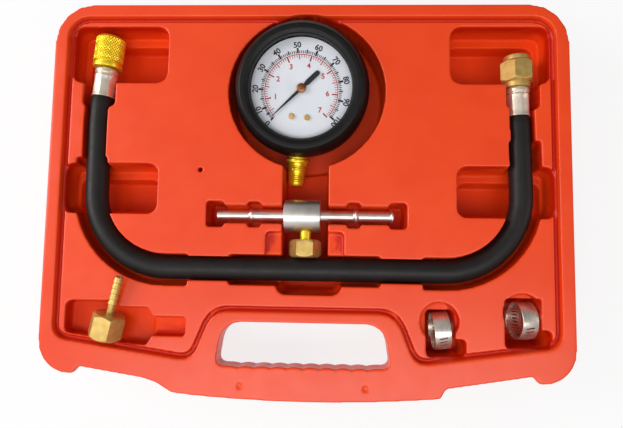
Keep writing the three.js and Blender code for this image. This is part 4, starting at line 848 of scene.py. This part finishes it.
pyramid = ridge(around + climb).maths("MINIMUM", ridge(around - climb))
distance = (x * x + y * y).maths("SQRT")
on_band = (distance > size["radius"] - 0.05) * ((z > size["low"]) * (z < size["high"]))
cut = (pyramid * -1.0 + 1.0) * size["depth"] * on_band
inwards = cut * -1.0 / distance
shift = put(tree, "ShaderNodeCombineXYZ", {"X": x * inwards, "Y": y * inwards})[0]
inputs = {"Geometry": size["Geometry"], "Offset": shift}
moved = put(tree, "GeometryNodeSetPosition", inputs)[0]
knurl_rule = close_rule(tree, moved, size["finish"])

# %% Knurled nut
nut_from, nut_length, nut_radius, nut_bore, neck_bore, nut_wall = 2.0, 18.6, 8.5, 6.0, 3.7, 3.0
nut_to = nut_from + nut_length
groove_low, groove_high = nut_from + 2.3, nut_from + 3.1
knurl_low, knurl_high = nut_from + 3.5, nut_to - 1.5
rows = 64
nut_outline = [
    (neck_bore, nut_from), (nut_radius - 0.4, nut_from), (nut_radius - 0.15, groove_low),
    (nut_radius - 1.1, groove_low + 0.2), (nut_radius - 1.1, groove_high - 0.1),
    (nut_radius, knurl_low - 0.1, 0.1),
    *[(nut_radius, knurl_low + (knurl_high - knurl_low) * k / rows, 0) for k in range(rows + 1)],
    (nut_radius - 1.3, nut_to), (nut_bore + 0.4, nut_to), (nut_bore, nut_to - 0.5),
    (nut_bore, nut_from + nut_wall), (neck_bore, nut_from + nut_wall),
]
blank = turned(nut_outline, 0.3, gold_brass, sides=288)
teeth = 30
knurled = grown(knurl_rule, gold_brass, blank, starts=teeth, depth=0.65, radius=nut_radius,
                lead=2 * math.pi * nut_radius / teeth, low=knurl_low + 0.05, high=knurl_high - 0.05)
show("knurled_nut_skin", [knurled], "knurled_nut", "brass_gold", "knurled_nut", place=left_frame,
     sharp=24)

# %% [markdown]
# ## Threads
# A thread is a ridge along a helix. One tree sweeps a small diamond along a spiral, and it
# serves the gauge stem and the clamp screws.

# %% Thread tree
tree, size = new_rule("thread_ridge", turns=8.0, start_radius=5.0, end_radius=5.0,
                      height=10.0, ridge=0.5)
inputs = {"Resolution": 40, "Rotations": size["turns"], "Start Radius": size["start_radius"],
          "End Radius": size["end_radius"], "Height": size["height"]}
helix = put(tree, "GeometryNodeCurveSpiral", inputs)[0]
inputs = {"Resolution": 4, "Radius": size["ridge"]}
tooth = put(tree, "GeometryNodeCurvePrimitiveCircle", inputs)[0]
inputs = {"Curve": helix, "Profile Curve": tooth, "Fill Caps": True}
thread_rule = close_rule(tree, put(tree, "GeometryNodeCurveToMesh", inputs)[0], size["finish"])


def thread(finish, start_radius, end_radius, low, high, pitch, ridge_size):
    mesh = grown(thread_rule, finish, turns=(high - low) / pitch, start_radius=start_radius,
                 end_radius=end_radius, height=high - low, ridge=ridge_size)
    mesh.transform(Matrix.Translation((0, 0, low)))
    return facing_out(mesh)


# %% Hexagon nut on the right hose end
hex_from, collar, bore, neck, across, nut_twist = 1.4, 7.2, 6.0, 3.7, 17.0, math.radians(7)
flat_low, flat_high, hex_to = hex_from + 3.0, hex_from + 15.7, hex_from + 18.5
foot_top, mouth_low = flat_low + 1.4, flat_high - 1.4
body_outline = [(neck, flat_low), *hexagon_outline(across, flat_low, flat_high, 1.4, bore)[1:-1],
                (bore, flat_high), (bore, hex_from + 3.3), (neck, hex_from + 3.3)]
foot_outline = [(neck, hex_from), (collar, hex_from), (collar, foot_top), (neck, foot_top)]
mouth_outline = [(bore, mouth_low), (collar, mouth_low), (collar, hex_to), (bore, hex_to)]
nut_meshes = [spun(body_outline, bright_brass, sides=96, closed=True, rule=hexagon(across)),
              turned(foot_outline, 0.5, bright_brass), turned(mouth_outline, 0.5, bright_brass)]
show("hex_nut_skin", nut_meshes, "hex_nut", "brass_bright", "hex_nut",
     place=right_frame @ Matrix.Rotation(nut_twist, 4, "Z"))

# %% [markdown]
# ## Tee and branch
# The tee is turned from one bar: a thick block with a tube on each side, each with a bead that
# keeps a fuel line on. Under the block a brass adapter with a hexagon takes the gauge stem.

# %% Tee
tee_place = Vector((0, -9.913, 31.0)) * mm
tee_frame = frame_matrix(tee_place, (0, 0, -1), (0, 1, 0), (1, 0, 0))
block_low, block_high, block_radius, tee_bore = -12.2, 8.4, 9.2, 1.5
left_bead = block_low - 17.3
left_step = left_bead - 2.3
left_tip = left_step - 19.0
right_bead = block_high + 18.6
right_step = right_bead + 3.2
right_flange = right_step + 17.8
right_tip = right_flange + 2.0
tee_outline = [
    (tee_bore, left_tip), (2.7, left_tip), (3.0, left_tip + 0.4), (3.0, left_step - 0.6),
    (3.6, left_step), (4.0, left_step + 0.8), (4.0, left_bead - 0.6), (3.5, left_bead),
    (3.5, block_low), (block_radius, block_low, 0.6), (block_radius, block_high, 0.6),
    (3.3, block_high), (3.3, right_bead), (4.6, right_bead + 1.3, 0.6),
    (4.6, right_step - 1.3, 0.6), (3.3, right_step), (3.3, right_flange),
    (3.85, right_flange + 0.6), (3.85, right_tip - 0.5), (3.3, right_tip), (tee_bore, right_tip),
]
tee_mesh = turned(tee_outline, 0.3, tee_metal, sides=96)
show("tee_turned", [tee_mesh], "tee", "tee_metal", "tee_body", place=tee_frame)

# %% Branch adapter
branch_frame = frame_matrix(tee_place, (1, 0, 0), (0, 0, 1), (0, -1, 0))
neck_from, hex_low, hex_high, branch_bore, inner_bore, across = 3.5, 13.6, 23.5, 4.4, 1.5, 16.0
hex_outline = [*hexagon_outline(across, hex_low, hex_high, 1.0, inner_bore)[:-1],
               (branch_bore + 0.4, hex_high), (branch_bore, hex_high - 0.5),
               (branch_bore, hex_high - 7.5), (inner_bore, hex_high - 7.5)]
neck_outline = [(inner_bore, neck_from), (3.15, neck_from), (3.15, hex_low + 0.4),
                (inner_bore, hex_low + 0.4)]
branch_meshes = [spun(hex_outline, bright_brass, sides=96, closed=True, rule=hexagon(across)),
                 turned(neck_outline, 0.2, gold_brass)]
show("branch_fitting", branch_meshes, "tee", "brass_bright", "branch_adapter", place=branch_frame)

# %% [markdown]
# ## Gauge
# The gauge sits in a thick rubber boot with a round shoulder. In front of its white dial are a
# black rim, a clear lens and the pointer. Below it the brass stem with its tapered thread leaves
# the boot. All of it lies in one frame, whose Z axis comes out of the dial.

# %% Gauge frame
gauge_tilt, gauge_turn, pointer_height = math.radians(8), math.radians(-4), 26.0
gauge_axes = Matrix.Rotation(gauge_turn, 3, "Z") @ Matrix.Rotation(gauge_tilt, 3, "X")
gauge_origin = Vector(joints["pointer_turn"]["pos_m"]) - gauge_axes.col[2] * pointer_height * mm
gauge_frame = frame_matrix(gauge_origin, *gauge_axes.col)
print("gauge stands at", [round(v * 1000, 1) for v in gauge_origin])

# %% Boot and rim
boot_outline = [
    (24.0, 0.0), (34.5, 0.0, 1.5), (38.4, 3.0, 2.5), (39.0, 12.0, 2.0), (39.0, 23.0, 4.0),
    (37.0, 29.6, 3.0), (34.9, 32.0, 1.8), (32.4, 32.0, 1.2), (30.0, 31.4, 0.5),
    (30.0, 30.8, 0.2), (32.75, 30.8, 0.2), (32.75, 2.5, 0.4), (24.0, 2.5, 0.4),
]
boot_mesh = turned(boot_outline, 0.5, boot_rubber, sides=144, steps=6)
show("boot_skin", [boot_mesh], "gauge", "boot_rubber", "gauge_boot", place=gauge_frame, sharp=50)
bezel_outline = [(31.7, 21.9), (32.45, 21.9), (32.45, 29.8, 0.5), (31.8, 30.4, 0.3),
                 (29.2, 30.4, 0.3), (28.9, 29.9, 0.2), (28.9, 29.2), (31.7, 29.2)]
bezel_mesh = turned(bezel_outline, 0.15, black_enamel, sides=144)
show("bezel_ring", [bezel_mesh], "gauge", "black_enamel", "gauge_bezel", place=gauge_frame)

# %% [markdown]
# ## Dial
# The face has two plain scales: black marks with numbers to 100 outside a red line, and red
# marks with numbers to 7 inside it. Each set of marks is one call of a small tree that sets out
# bars on a circle. The marks are thin raised slabs of ink, so they are real geometry.

# %% Tick tree
tree, size = new_rule("marks_on_a_circle", count=10, start=0.0, step=0.1, inner=10.0,
                      outer=12.0, width=0.2, height=24.6, ink=0.08)
bars = bars_on_circle(tree, size, -1.0, (size["inner"] + size["outer"]) * 0.5, size["height"],
                      (size["outer"] - size["inner"], size["width"], size["ink"]))
tick_rule = close_rule(tree, bars, size["finish"])

# %% Scales
dial_top = 24.6
zero_angle, full_angle, first_angle = 227.2, -36.3, 207.9
black_step = (first_angle - full_angle) / 90
small_step = (zero_angle - first_angle) / 10
red_unit = black_step * 14.5
red_start = full_angle - 1.5 * black_step
scale_drop = Matrix.Translation((0, -1.8, 0))


def marks(count, start, step, inner, outer, width, finish):
    mesh = grown(tick_rule, finish, count=count, start=math.radians(start),
                 step=math.radians(step), inner=inner, outer=outer, width=width, height=dial_top)
    mesh.transform(scale_drop)
    return mesh


# how many, angle of the first, step in degrees, inner and outer radius, width
black_marks = [
    (91, first_angle, black_step, 21.7, 23.3, 0.48),
    (19, first_angle, 5 * black_step, 21.7, 23.9, 0.8),
    (10, first_angle, 10 * black_step, 21.7, 24.8, 1.1),
    (10, zero_angle, small_step, 21.7, 23.3, 0.42),
    (2, zero_angle, 5 * small_step, 21.7, 24.0, 0.9),
]
red_marks = [
    (68, red_start, -red_unit / 10, 19.3, 20.9, 0.4),
    (14, red_start, -red_unit / 2, 18.4, 20.9, 0.56),
    (7, red_start, -red_unit, 17.7, 20.9, 0.8),
    (264, zero_angle, 1.0, 20.85, 21.3, 0.38),
]
dial_parts = [marks(*row, ink) for rows, ink in ((black_marks, black_ink), (red_marks, red_ink))
              for row in rows]
print("marks drawn:", sum(len(part.polygons) for part in dial_parts) // 6)

# %% Numbers
def number_mesh(value, radius, angle, height, turn, bold, finish):
    """A number as thin slabs of ink, centred on a circle; bold widens every stroke."""
    size_of_height, half_thick, lifted = 1.38, 0.05, 0.04
    curve = bpy.data.curves.new("number", "FONT")
    curve.body = str(value)
    curve.size = height * size_of_height
    curve.align_x, curve.align_y = "CENTER", "CENTER"
    curve.extrude, curve.offset = half_thick, bold
    curve.resolution_u = 4
    mesh = plain_mesh(host_of(curve))
    spot = Matrix.Translation((*polar(radius, math.radians(angle)), dial_top + lifted))
    mesh.transform(scale_drop @ spot @ Matrix.Rotation(math.radians(turn), 4, "Z"))
    paint(mesh, finish)
    return mesh


black_numbers = {value: full_angle + (100 - value) * black_step for value in range(10, 101, 10)}
for value, at in {**black_numbers, 0: zero_angle}.items():
    dial_parts.append(number_mesh(value, 26.4, at, 3.2, at - 90, 0.12, black_ink))
for value in range(1, 8):
    at = red_start + (7 - value) * red_unit
    dial_parts.append(number_mesh(value, 15.1, at, 3.0, 4, 0.1, red_ink))
print("dial parts:", len(dial_parts))

# %% Dial face
face_outline = [(1.6, 24.0), (29.2, 24.0), (29.2, dial_top), (1.6, dial_top)]
face_mesh = turned(face_outline, 0.1, dial_paint, sides=144)
show("dial_face", [face_mesh, *dial_parts], "gauge", "dial_paint", "gauge_dial", place=gauge_frame)

# %% [markdown]
# ## Pointer
# A needle with a long point and a broad tail, pressed on the arbor with a bronze boss. It is a
# flat piece, so its outline is drawn as points and pulled up.

# %% Pointer
pointer_low, pointer_thick = 25.4, 0.45
tail_end, tail_half, needle_end = 13.9, 1.45, 23.4
tail_round = arc(tail_half, quarter, 3 * quarter, 8, (tail_half - tail_end, 0))
blade_outline = [(needle_end, -0.16), (needle_end, 0.16), (2.0, 0.95), (-2.4, 0.75),
                 (-4.5, tail_half), *tail_round, (-4.5, -tail_half), (-2.4, -0.75), (2.0, -0.95)]
blade = slab(blade_outline, pointer_low, pointer_low + pointer_thick, black_enamel)
blade.transform(Matrix.Rotation(math.radians(zero_angle), 4, "Z"))
boss_outline = [(0, 25.25), (2.6, 25.25), (2.7, 25.9, 0.2), (2.7, 26.7, 0.4), (1.1, 27.1, 0.3),
                (0, 27.1)]
boss = turned(boss_outline, 0.2, bronze, sides=48, closed=False)
show("pointer_blade", [blade, boss], "pointer", "black_enamel", "gauge_pointer", place=gauge_frame)

# %% Dial screws
def slot_cutter(half_length, width, low, high, finish):
    """A bar that cuts a screwdriver slot."""
    x, y = half_length, width / 2
    return slab([(-x, -y), (x, -y), (x, y), (-x, y)], low, high, finish)


radius, low, top, slot, out_x, down_y, twist = 1.7, 22.9, 25.75, 0.6, 4.5, 16.3, 0.5
outline = [(0, low), (0.8, low), (0.8, top - 0.9), (radius, top - 0.9), (radius, top - 0.2),
           (radius * 0.8, top), (0, top)]
for side, name in ((-1, "dial_screw_left"), (1, "dial_screw_right")):
    cutter = slot_cutter(3, slot, top - slot, top + 1, bright_brass)
    cutter.transform(Matrix.Rotation(twist * side, 4, "Z"))
    head = cut_by(turned(outline, 0.12, bright_brass, sides=40, closed=False), cutter)
    head.transform(Matrix.Translation((side * out_x, -down_y, 0)))
    show(name + "_head", [head], "gauge", "brass_bright", name, place=gauge_frame)

# %% Stem with its thread
stem_place = Matrix.Translation((0, 0, 12.0)) @ Matrix.Rotation(quarter, 4, "X")
stem_outline = [
    (1.5, 12.5), (5.0, 12.5), (5.0, 31.7), (6.0, 31.7), (6.0, 38.8), (5.2, 39.1), (5.2, 40.0),
    (6.6, 40.3), (6.6, 42.1), (5.3, 42.5), (5.25, 43.4), (4.35, 54.9), (4.0, 55.9), (1.5, 55.9),
]
stem_mesh = turned(stem_outline, 0.25, gold_brass)
stem_thread = thread(gold_brass, 5.24, 4.36, 43.3, 54.7, 1.15, 0.45)
block_outline = [(-6.5, -28.7), (6.5, -28.7), (6.5, -12.0), (-6.5, -12.0)]
block_mesh = slab(block_outline, 6.5, 15.5, gold_brass)
stem_frame = gauge_frame @ stem_place
block_mesh.transform(stem_frame.inverted() @ gauge_frame)
show("stem_turned", [stem_mesh, stem_thread, block_mesh], "gauge", "brass_gold", "gauge_socket",
     place=stem_frame)

# %% [markdown]
# ## Hose barb
# A brass hexagon with a thin stem. Five ridges on the stem slope towards the tip, so that a
# hose slides on easily but not off.

# %% Barb
barb_heading, barb_tilt = math.radians(75), math.radians(8)
barb_hex, barb_across, barb_bore = 14.0, 16.6, 1.3
barb_out = Vector((*polar(math.cos(barb_tilt), barb_heading), math.sin(barb_tilt)))
barb_side = Vector((math.sin(barb_heading), -math.cos(barb_heading), 0))
barb_start = Vector((-108.9, hose_y - 32.6, 39.5)) - barb_out * barb_hex / 2
barb_frame = frame_matrix(barb_start * mm, barb_side, barb_out.cross(barb_side), barb_out)
barb_tip = barb_hex + 21.2
barb_stem = [(barb_bore, barb_hex - 1), (2.1, barb_hex - 1)]
for k in range(4, -1, -1):
    peak = barb_tip - 1 - 3.1 * k
    barb_stem += [(2.05, peak - 2.4, 0.1), (2.55, peak - 2.0, 0.12), (2.5, peak - 1.6, 0.2)]
barb_stem += [(2.05, barb_tip), (barb_bore, barb_tip)]
barb_outline = [(barb_bore, 8.0), (5.2, 9.0), (5.2, 0.5), (5.7, 0.0),
                *hexagon_outline(barb_across, 0, barb_hex, 1.2, barb_bore)[1:]]
barb_meshes = [spun(barb_outline, bright_brass, sides=96, closed=True, rule=hexagon(barb_across)),
               turned(barb_stem, 0.15, bright_brass, sides=48)]
show("barb_turned", barb_meshes, "barb", "brass_bright", "hose_barb", place=barb_frame)

# %% [markdown]
# ## Worm drive clamps
# A thin steel band with a row of slanting slots, a folded housing and a screw whose thread runs
# in the slots. The slots are cut by one tree that sets out cutters round the band.

# %% Slot tree
tree, size = new_rule("band_slots", count=20, start=0.0, step=0.2, radius=9.3, length=5.0,
                      width=0.9, reach=3.0, slant=0.12)
cutters = bars_on_circle(tree, size, 1.0, size["radius"], 0.0,
                         (size["reach"], size["width"], size["length"]), size["slant"])
real_cutters = put(tree, "GeometryNodeRealizeInstances", {"Geometry": cutters})[0]
inputs = {"Mesh 1": size["Geometry"], "Mesh 2": real_cutters}
slotted = put(tree, "GeometryNodeMeshBoolean", inputs, operation="DIFFERENCE")[0]
slot_rule = close_rule(tree, slotted, size["finish"])

# %% Clamp band
outer, inner, half = 10.4, 9.6, 4.5
outline = [(inner, -half), (outer, -half), (outer, half), (inner, half)]
band = turned(outline, 0.22, stainless, sides=96)
band = grown(slot_rule, stainless, band, count=22, start=math.radians(20), radius=10.0,
             step=math.radians(11.6), length=4.6, width=0.85, slant=0.14)
band.transform(Matrix.Rotation(quarter, 4, "Y"))
print("clamp band:", len(band.polygons), "faces")

# %% Clamp housing
# an arch of folded sheet over the screw, open at both ends
foot, half, wall, gap, half_length, screw_axis = 10.0, 4.8, 0.4, 2.45, 5.0, 13.4
arch = [(-half, foot), (-half, foot + 1.6), (-gap - wall, foot + 2.4),
        *arc(gap + wall, 2 * quarter, 0, 12, (0, screw_axis)),
        (gap + wall, foot + 2.4), (half, foot + 1.6), (half, foot), (gap + 0.4, foot + 0.7),
        *arc(gap, 0, 2 * quarter, 12, (0, screw_axis)), (-gap - 0.4, foot + 0.7)]
housing = slab(arch, -half_length, half_length, stainless)
housing.transform(Matrix.Rotation(quarter, 4, "X"))
soft_edge = {"width": 0.1, "segments": 2, "limit_method": "ANGLE"}
housing = facing_out(evaluated(housing, ("BEVEL", soft_edge), ("TRIANGULATE", {})))
print("clamp housing:", len(housing.polygons), "faces")

# %% Clamp screw
head_outline = [(0, 0.0), (3.3, 0.0), (3.3, 0.6), (3.0, 0.7), (4.1, 0.9), (4.1, 3.2), (3.6, 3.6),
                (0, 3.6)]
core_outline = [(0, -11.5), (1.4, -11.5), (1.8, -10.8), (1.8, 0.3), (0, 0.3)]
head = turned(head_outline, 0.12, stainless, closed=False, rule=hexagon(7.0))
screw = [cut_by(head, slot_cutter(5, 0.9, 2.5, 5, stainless)),
         turned(core_outline, 0.2, stainless, sides=40, closed=False),
         thread(stainless, 1.8, 1.8, -10.4, -0.8, 2.0, 0.45)]
print("clamp screw:", sum(len(mesh.polygons) for mesh in screw), "faces")

# %% Both clamps
clamp_height, screw_start = 27.8, -5.3
in_housing = Matrix.Translation((0, screw_start, screw_axis)) @ Matrix.Rotation(quarter, 4, "X")
# side, X, how far in front of the hose, degrees turned and leaning
for side, x, to_hose, twist, leaning in (("left", 76.4, 32.6, 6, 0), ("right", 122.1, 26.2, 1, 9)):
    axes = (Matrix.Rotation(math.radians(twist), 3, "Z")
            @ Matrix.Rotation(math.radians(leaning), 3, "Y") @ Matrix.Rotation(math.pi, 3, "X"))
    place = frame_matrix(Vector((x, hose_y - to_hose, clamp_height)) * mm, *axes.col)
    clamp = f"clamp_{side}"
    show(clamp + "_strap", [band], clamp, "stainless", clamp + "_band", place=place)
    show(clamp + "_saddle", [housing], clamp, "stainless", clamp + "_housing", place=place)
    show(clamp + "_worm", screw, clamp + "_screw", "stainless", clamp + "_screw",
         place=place @ in_housing)

# %% [markdown]
# ## Pieces that stay as the CAD made them
# The works inside the gauge, the nipples in the hose ends and the small seals are already right.
# They only get a finish, which goes into the material slot of the CAD object.

# %% Finish the CAD pieces
pieces_in = [
    (black_enamel, "gauge_can gauge_bezel gauge_pointer"), (lens_plastic, "gauge_lens"),
    (seal_rubber, "blowout_plug lens_gasket nut_seal"), (bronze, "bourdon_tube hairspring"),
    (case_plastic, "case_tray"), (hose_rubber, "hose"), (boot_rubber, "gauge_boot"),
    (dial_paint, "gauge_dial"), (gold_brass, "gauge_socket knurled_nut"),
    (tee_metal, "tee_body"), (nickel, "ferrule_left ferrule_right"),
]
kept_finishes = {name: finish for finish, names in pieces_in for name in names.split()}
for name, node in nodes.items():
    other = stainless if name.startswith("clamp") else bright_brass
    paint(node.data, kept_finishes.get(name, other))
print("CAD pieces finished:", len(nodes))
